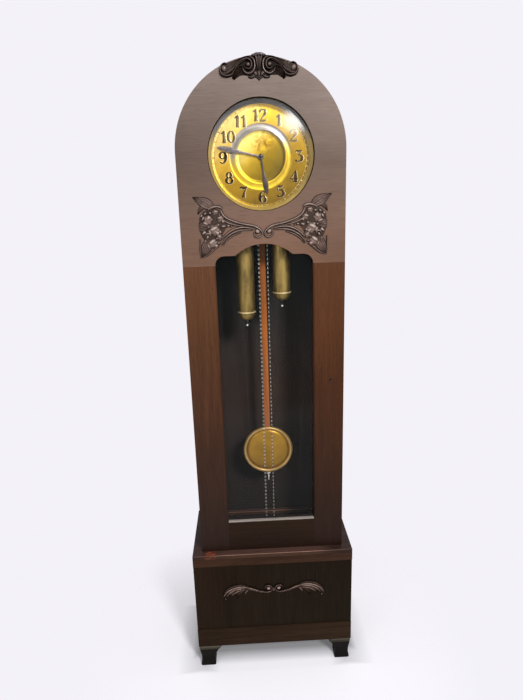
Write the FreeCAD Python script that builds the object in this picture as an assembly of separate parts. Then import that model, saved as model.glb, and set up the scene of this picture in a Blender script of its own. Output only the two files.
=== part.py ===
"""A longcase clock: round-arched case with a full-height glazed door, a plinth-like base on four
feet, and a chain-driven movement with two weights, a wooden-rod pendulum and a coil gong.

Millimetres. +Z is up and the clock faces -Y. The origin is on the floor, under the middle of
the bounding box. Heights are measured up from the floor and depths run back from the door.
"""
import FreeCAD, Part
import math
import os

from FreeCAD import Vector

# ---- base ----
base_width = 522.0
base_depth = 270.0
base_height = 355.0
base_board = 18.0
base_front_board = 20.0
base_top_board_thickness = 14.0
base_top_rail_height = 27.0
base_bottom_rail_height = 70.0
base_floor_thickness = 12.0
panel_recess = 3.0
base_opening_margin = 16.0
foot_height = 84.0
foot_plate_width = 72.0
foot_plate_thickness = 15.0
foot_shoulder_width = 57.0
foot_waist_width = 46.0
foot_toe_width = 49.0
foot_toe_height = 12.0
foot_body_offset = 7.0
foot_inset = 1.0

# ---- trunk and roof ----
trunk_width = 460.0
trunk_side_height = 1229.0
ledge_depth = 24.0
case_side_thickness = 16.0
roof_thickness = 12.0
back_thickness = 8.0

# ---- door ----
door_thickness = 22.0
door_sweep_gap = 1.5
stile_width = 91.0
bottom_rail_height = 107.0
arch_board_drop = 302.0
window_corner_radius = 27.0
window_arch_half_width = 81.0
window_arch_rise = 31.0
front_chamfer = 4.0
rabbet_width = 7.0
glass_setback = 12.0
glass_thickness = 3.0
glass_edge_gap = 1.0
dial_drop = 11.0
dial_opening_radius = 144.0
dial_glass_setback = 14.0
dial_rabbet_width = 8.0
dome_rise = 12.0
dome_margin = 3.0
dome_thickness = 2.5
bezel_width = 9.0

# ---- hinges and lock ----
hinge_length = 64.0
hinge_leaf_thickness = 1.3
hinge_leaf_gap = 0.4
hinge_leaf_margin = 0.5
hinge_barrel_radius = 3.0
hinge_pin_radius = 1.4
hinge_axis_inset = 0.6
hinge_notch_clearance = 0.4
knuckle_count = 5
knuckle_gap = 0.2
hinge_end_margin = 110.0
hinge_count = 3
running_clearance = 0.05
lock_height_above_base = 577.0
lock_body_width = 44.0
lock_body_height = 56.0
lock_body_thickness = 14.0
lock_side_clearance = 2.0
keyhole_radius = 2.6
bolt_width = 5.0
bolt_height = 14.0
bolt_length = 26.0
bolt_throw = 7.0
bolt_fit = 0.3
bolt_wall = 4.0
bolt_end_clearance = 1.3

# ---- carvings ----
plinth_carving_relief = 9.0
plinth_carving_half_width = 168.0
plinth_carving_rise = 216.0
crest_relief = 13.0
crest_half_width = 101.0
crest_rise = 6.0
spandrel_relief = 9.0
spandrel_half_width = 191.0

# ---- dial and hands ----
dial_setback = 40.0
dial_margin = 3.0
dial_thickness = 1.5
dial_rim_width = 3.0
dial_rim_height = 1.2
centre_disc_radius = 70.0
centre_disc_thickness = 1.6
centre_ring_width = 4.0
centre_ring_height = 0.6
dial_hole_clearance = 1.0
numeral_ring_radius = 105.0
numeral_height = 31.0
numeral_stroke = 5.2
numeral_thickness = 1.2
minute_hand_length = 123.0
minute_hand_width = 9.5
minute_hand_angle = 283.0
minute_boss_radius = 5.5
hour_hand_length = 101.0
hour_hand_width = 10.5
hour_hand_angle = 171.0
hour_boss_radius = 7.5
hand_thickness = 1.0
hand_gap = 3.0
hand_nut_radius = 4.0
hand_nut_height = 3.5

# ---- movement plates ----
motion_space = 16.0
plate_thickness = 2.5
plate_gap = 40.0
plate_left = 72.0
plate_right = 82.0
plate_margin = 16.0
wheel_seat_clearance = 6.5
pillar_radius = 4.0
pillar_inset = 6.0
pivot_radius = 1.2
arbor_radius = 1.8
arbor_end_shake = 0.4
pipe_wall = 1.3
dial_foot_radius = 2.0
dial_foot_spread = 58.0

# ---- wheels ----
great_module = 1.0
great_teeth = 72
centre_pinion_teeth = 12
centre_module = 0.8
centre_teeth = 64
third_pinion_teeth = 8
third_module = 0.7
third_teeth = 60
escape_pinion_teeth = 8
escape_teeth = 30
escape_radius = 16.0
cannon_module = 1.0
cannon_teeth = 12
minute_wheel_teeth = 36
minute_pinion_teeth = 10
hour_wheel_teeth = 40
strike_great_teeth = 56
minute_wheel_direction = -40.0
time_train_left = 33.5
great_wheel_gap = 0.9
third_wheel_angle = 26.1
wheel_thickness = 2.0
wheel_rim_width = 4.0
escape_rim_width = 2.0
great_hub_radius = 8.0
hub_radius = 5.0
escape_hub_radius = 4.0
pinion_overhang = 1.0
great_wheel_inset = 4.0
centre_wheel_inset = 16.0
third_wheel_inset = 9.0
escape_wheel_inset = 4.0
minute_wheel_standoff = 4.0
hour_wheel_standoff = 8.5
sprocket_pitch_radius = 20.5
sprocket_groove = 5.0
sprocket_flange = 2.0
sprocket_gap = 1.0
sprocket_core_clearance = 0.5

# ---- pendulum, anchor and cock ----
escape_drop = 24.0
pendulum_length = 988.0
rod_width = 17.5
rod_thickness = 8.0
bob_radius = 83.5
bob_thickness = 24.0
bob_rim = 3.0
bob_rim_width = 8.0
rod_end_rise = 12.0
bob_clearance = 6.0
spring_width = 8.0
spring_thickness = 0.5
spring_length = 14.0
spring_stub = 6.0
spring_split = 0.15
ferrule_height = 20.0
ferrule_width = 10.0
ferrule_thickness = 7.0
rating_thread_radius = 2.5
rating_nut_radius = 7.0
rating_nut_height = 6.0
rating_thread_length = 30.0
anchor_clearance = 1.5
anchor_arm = 3.0
anchor_spread = 48.0
anchor_stem_width = 3.2
crutch_drop = 52.0
crutch_gap = 2.0
crutch_thickness = 2.0
crutch_width = 3.0
fork_height = 6.0
fork_overhang = 2.0
fork_fit = 0.4
fork_prong = 2.5
cock_gap = 2.0
cock_thickness = 2.5
cock_half_width = 18.0
cock_below = 6.0
cock_arm_height = 10.0
cock_arm_width = 12.0
cock_leg_radius = 3.5

# ---- weights and chains ----
weight_radius = 26.0
weight_body_height = 245.0
weight_dome_height = 22.0
weight_finial_height = 21.0
weight_ball_radius = 3.8
weight_neck_radius = 2.0
weight_disc_radius = 8.5
weight_disc_thickness = 1.4
weight_disc_gap = 4.5
weight_bead = 2.0
weight_bead_height = 5.0
weight_cap_height = 12.0
weight_hook_radius = 6.0
weight_hook_wire = 1.6
time_weight_drop = 457.0
strike_weight_drop = 401.0
chain_radius = 1.8
time_chain_tail = 1262.0
strike_chain_tail = 1240.0
chain_ring_radius = 8.0
chain_ring_wire = 1.3
weight_clearance = 3.0
weight_travel = 1000.0

# ---- gong, hammer and seat ----
gong_gap = 20.0
gong_drop = 105.0
gong_wire = 2.0
gong_inner_radius = 8.0
gong_turn_pitch = 14.0
gong_half_turns = 13
gong_block_size = 46.0
gong_block_gap = 14.0
gong_post_radius = 6.0
hammer_arbor_clearance = 4.0
hammer_head_radius = 7.0
hammer_head_length = 16.0
hammer_gap = 1.5
hammer_arm_radius = 1.6
hammer_boss_radius = 3.5
seat_thickness = 18.0
seat_margin = 4.0
cleat_size = 18.0
chain_slot_margin = 5.0
chain_slot_half_depth = 8.0

# ---- worked-out places ----
base_bottom = foot_height
base_top = base_bottom + base_height
front_relief = max(plinth_carving_relief - panel_recess, 0.0)
base_front = (front_relief - base_depth) / 2
base_back = base_front + base_depth
door_front = base_front + ledge_depth
door_back = door_front + door_thickness
case_front = door_back + 2 * hinge_leaf_thickness + hinge_leaf_gap
back_front = base_back - back_thickness
half_base = base_width / 2
half_trunk = trunk_width / 2
window_half = half_trunk - stile_width
door_bottom = base_top + door_sweep_gap
window_bottom = base_top + bottom_rail_height
spring_z = base_top + trunk_side_height
seam_z = spring_z - arch_board_drop
shoulder_z = seam_z + window_corner_radius
window_top = shoulder_z + window_arch_rise
case_top = spring_z + half_trunk
dial_z = spring_z - dial_drop
crest_top = case_top + crest_rise

dial_radius = dial_opening_radius - dial_margin
dial_face = door_front + dial_setback
dial_back = dial_face + dial_thickness
front_plate_front = dial_back + motion_space
front_plate_back = front_plate_front + plate_thickness
back_plate_front = front_plate_back + plate_gap
back_plate_back = back_plate_front + plate_thickness
minute_wheel_y = front_plate_front - minute_wheel_standoff
hour_wheel_y = front_plate_front - hour_wheel_standoff
great_wheel_y = front_plate_back + great_wheel_inset
sprocket_y = great_wheel_y + wheel_thickness + sprocket_gap
chain_y = sprocket_y + sprocket_flange + sprocket_groove / 2
centre_wheel_y = back_plate_front - centre_wheel_inset
third_wheel_y = back_plate_front - third_wheel_inset
escape_wheel_y = back_plate_front - escape_wheel_inset
cock_front = back_plate_back + crutch_gap + crutch_thickness + cock_gap
pendulum_y = max(chain_y + weight_radius + weight_bead + bob_clearance + bob_thickness / 2,
                 cock_front + cock_thickness + bob_clearance / 2 + spring_width / 2)
gong_y = pendulum_y + max(rod_thickness, bob_thickness) / 2 + gong_gap

# A wheel's teeth are (share of the pitch, addendum, dedendum), the last two in modules.
WHEEL_TOOTH = (0.42, 0.95, 1.5)
PINION_LEAF = (0.30, 0.60, 1.7)
great_reach = (great_teeth / 2 + WHEEL_TOOTH[1]) * great_module
strike_reach = (strike_great_teeth / 2 + WHEEL_TOOTH[1]) * great_module
great_distance = (great_teeth + centre_pinion_teeth) * great_module / 2
great_x = -time_train_left
great_z = dial_z - math.sqrt(great_distance ** 2 - time_train_left ** 2)
strike_x = great_x + great_reach + strike_reach + great_wheel_gap
strike_z = great_z
centre_distance = (centre_teeth + third_pinion_teeth) * centre_module / 2
third_distance = (third_teeth + escape_pinion_teeth) * third_module / 2
third_x = -centre_distance * math.sin(math.radians(third_wheel_angle))
third_z = dial_z + centre_distance * math.cos(math.radians(third_wheel_angle))
escape_z = third_z + math.sqrt(third_distance ** 2 - third_x ** 2)
suspension_z = escape_z + escape_drop
motion_distance = (cannon_teeth + minute_wheel_teeth) * cannon_module / 2
hour_module = 2 * motion_distance / (hour_wheel_teeth + minute_pinion_teeth)
minute_wheel_x = motion_distance * math.cos(math.radians(minute_wheel_direction))
minute_wheel_z = dial_z + motion_distance * math.sin(math.radians(minute_wheel_direction))
gong_z = dial_z - gong_drop
seat_top = great_z - great_reach - wheel_seat_clearance
plate_top = suspension_z + plate_margin
bob_z = suspension_z - pendulum_length
hinge_x = -half_trunk + hinge_axis_inset
hinge_y = (door_back + case_front) / 2
lock_z = base_top + lock_height_above_base
lock_right = half_trunk - case_side_thickness - lock_side_clearance
lock_left = lock_right - lock_body_width
keyhole_x = (lock_left + lock_right) / 2
bolt_front = case_front + bolt_wall
time_weight_z = great_z - time_weight_drop
strike_weight_z = great_z - strike_weight_drop


# ---- shape helpers ----
def box(x0, x1, y0, y1, z0, z1):
    return Part.makeBox(x1 - x0, y1 - y0, z1 - z0, Vector(x0, y0, z0))


def rod_x(y, z, radius, x0, x1):
    return Part.makeCylinder(radius, x1 - x0, Vector(x0, y, z), Vector(1, 0, 0))


def rod_y(x, z, radius, y0, y1):
    return Part.makeCylinder(radius, y1 - y0, Vector(x, y0, z), Vector(0, 1, 0))


def rod_z(x, y, radius, z0, z1):
    return Part.makeCylinder(radius, z1 - z0, Vector(x, y, z0), Vector(0, 0, 1))


def tube_y(x, z, outer, inner, y0, y1):
    return rod_y(x, z, outer, y0, y1).cut(rod_y(x, z, inner, y0, y1))


def plate(points, y0, y1):
    """A flat plate of polygon outline, given as (x, z) points, from y0 back to y1."""
    corners = [Vector(x, y0, z) for x, z in points]
    face = Part.Face(Part.makePolygon(corners + corners[:1]))
    return face.extrude(Vector(0, y1 - y0, 0))


def plate_of_edges(edges, y0, y1):
    face = Part.Face(Part.Wire(edges))
    return face.extrude(Vector(0, y1 - y0, 0))


def line(a, b):
    return Part.LineSegment(a, b).toShape()


def arc(a, mid, b):
    return Part.Arc(a, mid, b).toShape()


def polar(x, z, radius, degrees):
    """The (x, z) point at a clock angle: clockwise from twelve, seen from the front."""
    turn = math.radians(degrees)
    return x + radius * math.sin(turn), z + radius * math.cos(turn)


def union(shapes):
    first = shapes[0]
    return first.multiFuse(shapes[1:]).removeSplitter() if len(shapes) > 1 else first


def save(name, *solids):
    shape = solids[0] if len(solids) == 1 else Part.makeCompound(list(solids))
    shape.exportStep("parts/" + name + ".step")


def ribbon(points, width, y0, y1):
    """A flat band of constant width whose middle line runs through (x, z) points."""
    left = []
    right = []
    for i, (x, z) in enumerate(points):
        x0, z0 = points[max(i - 1, 0)]
        x1, z1 = points[min(i + 1, len(points) - 1)]
        length = math.hypot(x1 - x0, z1 - z0)
        nx = -(z1 - z0) / length * width / 2
        nz = (x1 - x0) / length * width / 2
        left.append((x + nx, z + nz))
        right.append((x - nx, z - nz))
    return plate(left + right[::-1], y0, y1)


def leaf(base, tip, width, y0, y1):
    """A pointed leaf between two (x, z) points, bounded by two arcs."""
    (x0, z0), (x1, z1) = base, tip
    length = math.hypot(x1 - x0, z1 - z0)
    nx = -(z1 - z0) / length * width / 2
    nz = (x1 - x0) / length * width / 2
    mx, mz = (x0 + x1) / 2, (z0 + z1) / 2
    a, b = Vector(x0, y0, z0), Vector(x1, y0, z1)
    edges = [arc(a, Vector(mx + nx, y0, mz + nz), b), arc(b, Vector(mx - nx, y0, mz - nz), a)]
    return plate_of_edges(edges, y0, y1)


def motif(z, unit, *points):
    """Points of a carving, drawn in hundredths of its half width, set out from (0, z)."""
    return [(unit * u, z + unit * v) for u, v in points]


def boss(place, radius, y0, y1):
    x, z = place
    return rod_y(x, z, radius, y0, y1)


def mirrored_pair(shape):
    return [shape, shape.mirror(Vector(0, 0, 0), Vector(1, 0, 0))]


def arch_outline(half_width, bottom, y):
    """Edges of a round-topped outline: straight up to the springing line, then a semicircle."""
    low_left, low_right = Vector(-half_width, y, bottom), Vector(half_width, y, bottom)
    left, right = Vector(-half_width, y, spring_z), Vector(half_width, y, spring_z)
    crown = Vector(0, y, spring_z + half_width)
    return [line(low_left, low_right), line(low_right, right), arc(right, crown, left),
            line(left, low_left)]


def tooth_ring(x, z, teeth, module, tooth, phase):
    """Outline of a toothed wheel: radial flanks up to the pitch circle, then pointed tips.

    The first tooth stands at the angle phase, in radians from +X towards +Z.
    """
    share, addendum, dedendum = tooth
    pitch_radius = teeth * module / 2
    half_angle = share * math.pi / teeth
    shape = ((pitch_radius - dedendum * module, 1.0), (pitch_radius, 1.0),
             (pitch_radius + 0.55 * addendum * module, 0.68),
             (pitch_radius + addendum * module, 0.22))
    rising = [(radius, -side) for radius, side in shape]
    falling = [(radius, side) for radius, side in shape[::-1]]
    points = []
    for i in range(teeth):
        middle = phase + 2 * math.pi * i / teeth
        for radius, side in rising + falling:
            turn = middle + side * half_angle
            points.append((x + radius * math.cos(turn), z + radius * math.sin(turn)))
    return points


def mate_phase(phase, teeth, mate_teeth, direction):
    """Phase of the wheel that meshes with this one and lies in that direction from it."""
    return direction + math.pi - (phase - direction) * teeth / mate_teeth - math.pi / mate_teeth


def toothed(x, z, teeth, module, tooth, phase, y0, thickness):
    return plate(tooth_ring(x, z, teeth, module, tooth, phase), y0, y0 + thickness)


def pinion(x, z, teeth, module, phase, wheel_y):
    """Leaves for a wheel at wheel_y, which they pass by a little on both sides."""
    return toothed(x, z, teeth, module, PINION_LEAF, phase, wheel_y - pinion_overhang,
                   wheel_thickness + 2 * pinion_overhang)


def crossed_out(wheel, x, z, rim_radius, hub_radius, spokes, y0, thickness):
    """Cuts the windows between a wheel's rim, hub and spokes."""
    spoke_width = 0.16 * rim_radius
    window = tube_y(x, z, rim_radius, hub_radius, y0, y0 + thickness)
    arms = []
    for i in range(spokes):
        arm = box(x, x + 1.1 * rim_radius, y0, y0 + thickness, z - spoke_width / 2,
                  z + spoke_width / 2)
        arm.rotate(Vector(x, 0, z), Vector(0, 1, 0), 360.0 * i / spokes + 18.0)
        arms.append(arm)
    return wheel.cut(window.cut(union(arms)))


def turned(profile, x, y):
    """A solid turned about a vertical axis from (radius, height) points."""
    points = [Vector(x + radius, y, height) for radius, height in profile]
    face = Part.Face(Part.makePolygon(points + points[:1]))
    return face.revolve(Vector(x, y, 0), Vector(0, 0, 1), 360)


# ---- base ----
def base_side(side):
    inner = half_base - base_board
    x0, x1 = sorted((side * inner, side * half_base))
    return box(x0, x1, base_front + base_front_board, back_front, base_bottom,
               base_top - base_top_board_thickness)


def base_front_rails():
    top = base_top - base_top_board_thickness
    back = base_front + base_front_board
    upper = box(-half_base, half_base, base_front, back, top - base_top_rail_height, top)
    lower = box(-half_base, half_base, base_front, back, base_bottom,
                base_bottom + base_bottom_rail_height)
    return upper, lower


def base_front_panel():
    return box(-half_base, half_base, base_front + panel_recess, base_front + base_front_board,
               base_bottom + base_bottom_rail_height,
               base_top - base_top_board_thickness - base_top_rail_height)


def base_top_board():
    low = base_top - base_top_board_thickness
    board = box(-half_base, half_base, base_front, back_front, low, base_top)
    inner = half_trunk - case_side_thickness - base_opening_margin
    front = chain_y - weight_radius - weight_bead - weight_clearance
    hole = box(-inner, inner, front, back_front - base_opening_margin, low, base_top)
    return board.cut(hole)


def base_floor():
    inner = half_base - base_board
    return box(-inner, inner, base_front + base_front_board, back_front, base_bottom,
               base_bottom + base_floor_thickness)


def foot(x, y):
    """A moulded block foot: a square plate, and below it a body that stands towards the corner of
    the base and narrows in a hollow above its toe."""
    plate_low = foot_height - foot_plate_thickness
    half_plate = foot_plate_width / 2
    top = box(x - half_plate, x + half_plate, y - half_plate, y + half_plate, plate_low,
              foot_height)
    half_shoulder, half_toe = foot_shoulder_width / 2, foot_toe_width / 2
    waist = (foot_waist_width / 2, (plate_low + foot_toe_height) / 2)
    toe_x = x + math.copysign(foot_body_offset, x)
    toe_y = y + math.copysign(foot_body_offset, y)

    def profile(across, along, reach):
        def point(offset, height):
            return Vector(toe_x, toe_y, height) + across * offset - along * reach

        right = [point(half_toe, 0), point(half_toe, foot_toe_height), point(*waist),
                 point(half_shoulder, plate_low)]
        left = [point(-half_toe, 0), point(-half_toe, foot_toe_height),
                point(-waist[0], waist[1]), point(-half_shoulder, plate_low)]
        edges = [line(left[0], right[0]), line(right[0], right[1]), arc(*right[1:]),
                 line(right[3], left[3]), arc(left[3], left[2], left[1]), line(left[1], left[0])]
        return Part.Face(Part.Wire(edges)).extrude(along * 2 * reach)

    body = profile(Vector(1, 0, 0), Vector(0, 1, 0), half_plate).common(
        profile(Vector(0, 1, 0), Vector(1, 0, 0), half_plate))
    return union([top, body])


def foot_pair(y):
    x = half_base - foot_inset - foot_plate_width / 2
    return foot(-x, y), foot(x, y)


def plinth_carving():
    """Two acanthus leaves on stems that spring from a pair of volutes in the middle."""
    back = base_front + panel_recess
    front = back - plinth_carving_relief
    mid = back - 0.6 * plinth_carving_relief
    z = base_bottom + plinth_carving_rise
    unit = plinth_carving_half_width / 100
    stem = motif(z, unit, (4, -4), (14, -5), (27, -4), (40, 1), (52, 5))
    blade = motif(z, unit, (49, 6), (67, 12), (88, 6), (99, -5), (95, -17), (88, -16), (82, -8),
                  (76, -16), (70, -17), (52, -2))
    spine = motif(z, unit, (50, 4), (68, 7), (84, 1), (95, -12))
    volute, = motif(z, unit, (10.5, 6))
    half = [ribbon(stem, 5 * unit, front, back), plate(blade, mid, back),
            ribbon(spine, 4 * unit, front, back), boss(volute, 6 * unit, front, back),
            plate(motif(z, unit, (4, -6), (4, 2), (16, 4), (16, -6)), mid, back)]
    return union(mirrored_pair(union(half)) + [
        plate(motif(z, unit, (-5, -5), (-5, 1), (5, 1), (5, -5)), mid, back)])


# ---- trunk, roof and back ----
def case_side(side):
    x0, x1 = sorted((side * (half_trunk - case_side_thickness), side * half_trunk))
    board = box(x0, x1, case_front, back_front, base_top, spring_z)
    if side < 0:
        return board.cut(hinge_notches())
    pocket = box(x0, lock_right + bolt_throw + bolt_end_clearance,
                 bolt_front - bolt_fit, bolt_front + bolt_width + bolt_fit,
                 lock_z - bolt_height / 2 - bolt_fit, lock_z + bolt_height / 2 + bolt_fit)
    return board.cut(pocket)


def arch_roof():
    ring = tube_y(0, spring_z, half_trunk, half_trunk - roof_thickness, case_front, back_front)
    upper = box(-half_trunk, half_trunk, case_front, back_front, spring_z, case_top)
    return ring.common(upper)


def back_board():
    wide = box(-half_base, half_base, back_front, base_back, base_bottom, base_top)
    tall = plate_of_edges(arch_outline(half_trunk, base_top, back_front), back_front, base_back)
    return union([wide, tall])


def seat_board():
    inner = half_trunk - case_side_thickness
    board = box(-inner, inner, front_plate_front - seat_margin, back_plate_back + seat_margin,
                seat_top - seat_thickness, seat_top)
    for x in (great_x, strike_x):
        reach = sprocket_pitch_radius + chain_radius + chain_slot_margin
        board = board.cut(box(x - reach, x + reach, chain_y - chain_slot_half_depth,
                              chain_y + chain_slot_half_depth, seat_top - seat_thickness, seat_top))
    return board


def seat_cleats():
    outer = half_trunk - case_side_thickness
    low = seat_top - seat_thickness - cleat_size
    cleat = box(outer - cleat_size, outer, case_front + seat_margin, back_front, low,
                low + cleat_size)
    return mirrored_pair(cleat)


# ---- door ----
def door_block(x0, x1, z0, z1):
    return box(x0, x1, door_front, door_back, z0, z1)


def chamfer_wedge(a, b, inward):
    """A prism that takes the chamfer off the door's front edge from a to b."""
    start, end = Vector(a[0], door_front, a[1]), Vector(b[0], door_front, b[1])
    side = Vector(inward[0], 0, inward[1]) * front_chamfer
    corners = [start, start + side, start + Vector(0, front_chamfer, 0)]
    face = Part.Face(Part.makePolygon(corners + corners[:1]))
    return face.extrude(end - start)


def door_stile(side):
    inner, outer = side * window_half, side * half_trunk
    x0, x1 = sorted((inner, outer))
    stile = door_block(x0, x1, door_bottom, seam_z)
    rabbet_x = sorted((inner, inner + side * rabbet_width))
    cuts = [box(*rabbet_x, door_front + glass_setback, door_back, window_bottom - rabbet_width,
                seam_z),
            chamfer_wedge((inner, window_bottom), (inner, seam_z), (side, 0))]
    if side < 0:
        cuts += hinge_notches()
    else:
        cuts.append(rod_y(keyhole_x, lock_z, keyhole_radius, door_front, door_back))
    return stile.cut(cuts)


def door_bottom_rail():
    rail = door_block(-window_half, window_half, door_bottom, window_bottom)
    rail = rail.cut(box(-window_half, window_half, door_front + glass_setback, door_back,
                        window_bottom - rabbet_width, window_bottom))
    return rail.cut(chamfer_wedge((-window_half, window_bottom), (window_half, window_bottom),
                                  (0, -1)))


def window_head():
    """The window's shaped head: two round shoulders, two cusps and a low arch in the middle."""
    y = door_front
    r = window_corner_radius
    diagonal = r * (1 - math.sqrt(0.5))
    low = seam_z - 1.0
    a, b = Vector(-window_half, y, low), Vector(window_half, y, low)
    right = [Vector(window_half, y, seam_z),
             Vector(window_half - diagonal, y, shoulder_z - diagonal),
             Vector(window_half - r, y, shoulder_z), Vector(window_arch_half_width, y, shoulder_z)]
    left = [Vector(-p.x, y, p.z) for p in right]
    edges = [line(a, b), line(b, right[0]), arc(*right[:3]), line(right[2], right[3]),
             arc(right[3], Vector(0, y, window_top), left[3]), line(left[3], left[2]),
             arc(left[2], left[1], left[0]), line(left[0], a)]
    return plate_of_edges(edges, y, door_back)


def door_arch_board():
    board = plate_of_edges(arch_outline(half_trunk, seam_z, door_front), door_front, door_back)
    rabbet = box(-window_half - rabbet_width, window_half + rabbet_width,
                 door_front + glass_setback, door_back, seam_z, window_top + rabbet_width)
    dial_rabbet = rod_y(0, dial_z, dial_opening_radius + dial_rabbet_width,
                        door_front + dial_glass_setback, door_back)
    opening = rod_y(0, dial_z, dial_opening_radius, door_front, door_back)
    return board.cut([window_head(), rabbet, dial_rabbet, opening] + hinge_notches())


def window_glass():
    edge = rabbet_width - glass_edge_gap
    front = door_front + glass_setback
    return box(-window_half - edge, window_half + edge, front, front + glass_thickness,
               window_bottom - edge, window_top + edge)


def window_beads():
    """Four strips behind the glass that hold it in its rabbet."""
    front = door_front + glass_setback + glass_thickness
    outer = window_half + rabbet_width
    low, high = window_bottom - rabbet_width, window_top + rabbet_width
    left = box(-outer, -window_half, front, door_back, low, high)
    bottom = box(-window_half, window_half, front, door_back, low, window_bottom)
    top = box(-window_half, window_half, front, door_back, window_top, high)
    return mirrored_pair(left) + [bottom, top]


def dial_glass():
    """A domed glass: a spherical cap with a flat rim that lies in the rabbet behind the board."""
    rim = dial_opening_radius - dome_margin
    radius = (rim ** 2 + dome_rise ** 2) / (2 * dome_rise)
    flange = door_front + dial_glass_setback
    outer = dial_opening_radius + dial_rabbet_width - glass_edge_gap

    def profile_point(r, y):
        return Vector(r, y, dial_z)

    def cap(flat):
        half = math.asin(rim / radius) / 2
        mid = profile_point(radius * math.sin(half), flat - dome_rise + radius * (1 - math.cos(half)))
        return profile_point(0, flat - dome_rise), mid, profile_point(rim, flat)

    front = cap(flange)
    back = cap(flange + dome_thickness)
    edges = [arc(*front), line(front[2], profile_point(outer, flange)),
             line(profile_point(outer, flange), profile_point(outer, flange + dome_thickness)),
             line(profile_point(outer, flange + dome_thickness), back[2]),
             arc(back[2], back[1], back[0]), line(back[0], front[0])]
    return Part.Face(Part.Wire(edges)).revolve(Vector(0, 0, dial_z), Vector(0, 1, 0), 360)


def dial_bezel():
    outer = dial_opening_radius + dial_rabbet_width
    front = door_front + dial_glass_setback + dome_thickness
    return tube_y(0, dial_z, outer, outer - bezel_width, front, door_back)


def crest_carving():
    """A knob and shell between two volutes, with a scrolled ribbon out to each side."""
    back = door_front
    front = back - crest_relief
    mid = back - 0.6 * crest_relief
    z = crest_top
    unit = crest_half_width / 100
    volute, scroll, knob = motif(z, unit, (25, -34), (86, -39), (0, -13))
    half = [boss(scroll, 14 * unit, front, back), boss(volute, 17 * unit, front, back),
            ribbon(motif(z, unit, (18, -14), (43, -19), (63, -28), (78, -36)), 13 * unit, mid, back),
            ribbon(motif(z, unit, (34, -24), (50, -42), (64, -58)), 14 * unit, mid, back)]
    shell = motif(z, unit, (-16, -12), (16, -12), (26, -50), (20, -57), (11, -58), (0, -68),
                  (-11, -58), (-20, -57), (-26, -50))
    return union(mirrored_pair(union(half)) + [plate(shell, mid, back),
                                               boss(knob, 12.9 * unit, front, back)])


def spandrel_carving():
    """A flower cluster with a leaf up and a leaf down, on two stems that scroll together."""
    back = door_front
    front = back - spandrel_relief
    mid = back - 0.55 * spandrel_relief
    z = dial_z - dial_opening_radius
    unit = spandrel_half_width / 100
    leaf_root, leaf_tip, scroll = motif(z, unit, (71, 4), (100, 21.5), (7.5, -30))
    body = motif(z, unit, (59, 8.4), (71, 7), (78, 3), (84, -7), (89, -15), (93, -25), (93, -63),
                 (84, -61), (67, -49), (63, -38), (52, -32), (50, -19), (56, -8))
    upper_stem = motif(z, unit, (60, 6), (61, 1), (56, -6), (46, -13.5), (31, -17.5), (16, -20.5),
                       (7, -25))
    lower_stem = motif(z, unit, (12, -26.5), (31, -26), (43, -29), (53, -34.5), (60, -42),
                       (62.5, -48.5))
    half = [leaf(leaf_root, leaf_tip, 13 * unit, front, back), plate(body, mid, back),
            ribbon(upper_stem, 4.5 * unit, front, back), ribbon(lower_stem, 4.5 * unit, mid, back),
            boss(scroll, 5.8 * unit, front, back)]
    petals = motif(z, unit, (67, 1), (78, -9), (63, -10), (70, -24), (59, -19), (81, -31), (74, -43))
    for petal in petals:
        half.append(boss(petal, 4.7 * unit, front, back))
    return mirrored_pair(union(half))


# ---- hinges and lock ----
def hinge_levels():
    """Middle height of each hinge, evenly spaced up the straight part of the door."""
    low, high = base_top + hinge_end_margin, spring_z - hinge_end_margin
    return [low + (high - low) * i / (hinge_count - 1) for i in range(hinge_count)]


def hinge_notches():
    """Rounds cut into the wood so that the barrels turn clear of it."""
    radius = hinge_barrel_radius + hinge_notch_clearance
    half = hinge_length / 2 + hinge_notch_clearance
    return [rod_z(hinge_x, hinge_y, radius, z - half, z + half) for z in hinge_levels()]


def hinge_leaf(z, on_door):
    """One leaf with its own knuckles: the case has the odd ones and the door the even ones."""
    half = hinge_length / 2
    pitch = hinge_length / knuckle_count
    clear = hinge_barrel_radius + hinge_notch_clearance
    if on_door:
        y0, y1 = door_back, door_back + hinge_leaf_thickness
    else:
        y0, y1 = case_front - hinge_leaf_thickness, case_front
    edge = -half_trunk + case_side_thickness - hinge_leaf_margin
    pieces = [box(hinge_x + clear, edge, y0, y1, z - half, z + half)]
    for i in range(1 if on_door else 0, knuckle_count, 2):
        low = z - half + i * pitch + knuckle_gap / 2
        high = z - half + (i + 1) * pitch - knuckle_gap / 2
        pieces.append(rod_z(hinge_x, hinge_y, hinge_barrel_radius, low, high))
        pieces.append(box(hinge_x, hinge_x + clear, y0, y1, low, high))
    bore = rod_z(hinge_x, hinge_y, hinge_pin_radius + running_clearance, z - half, z + half)
    return union(pieces).cut(bore)


def hinge_pins():
    half = hinge_length / 2 + 1.0
    return [rod_z(hinge_x, hinge_y, hinge_pin_radius, z - half, z + half) for z in hinge_levels()]


def door_lock():
    body = box(lock_left, lock_right, door_back, door_back + lock_body_thickness,
               lock_z - lock_body_height / 2, lock_z + lock_body_height / 2)
    channel = box(lock_right - bolt_length - bolt_fit, lock_right, bolt_front - bolt_fit,
                  bolt_front + bolt_width + bolt_fit, lock_z - bolt_height / 2 - bolt_fit,
                  lock_z + bolt_height / 2 + bolt_fit)
    keyway = rod_y(keyhole_x, lock_z, keyhole_radius, door_back, bolt_front)
    return body.cut(channel).cut(keyway)


def lock_bolt():
    return box(lock_right - bolt_length, lock_right, bolt_front, bolt_front + bolt_width,
               lock_z - bolt_height / 2, lock_z + bolt_height / 2)


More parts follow.
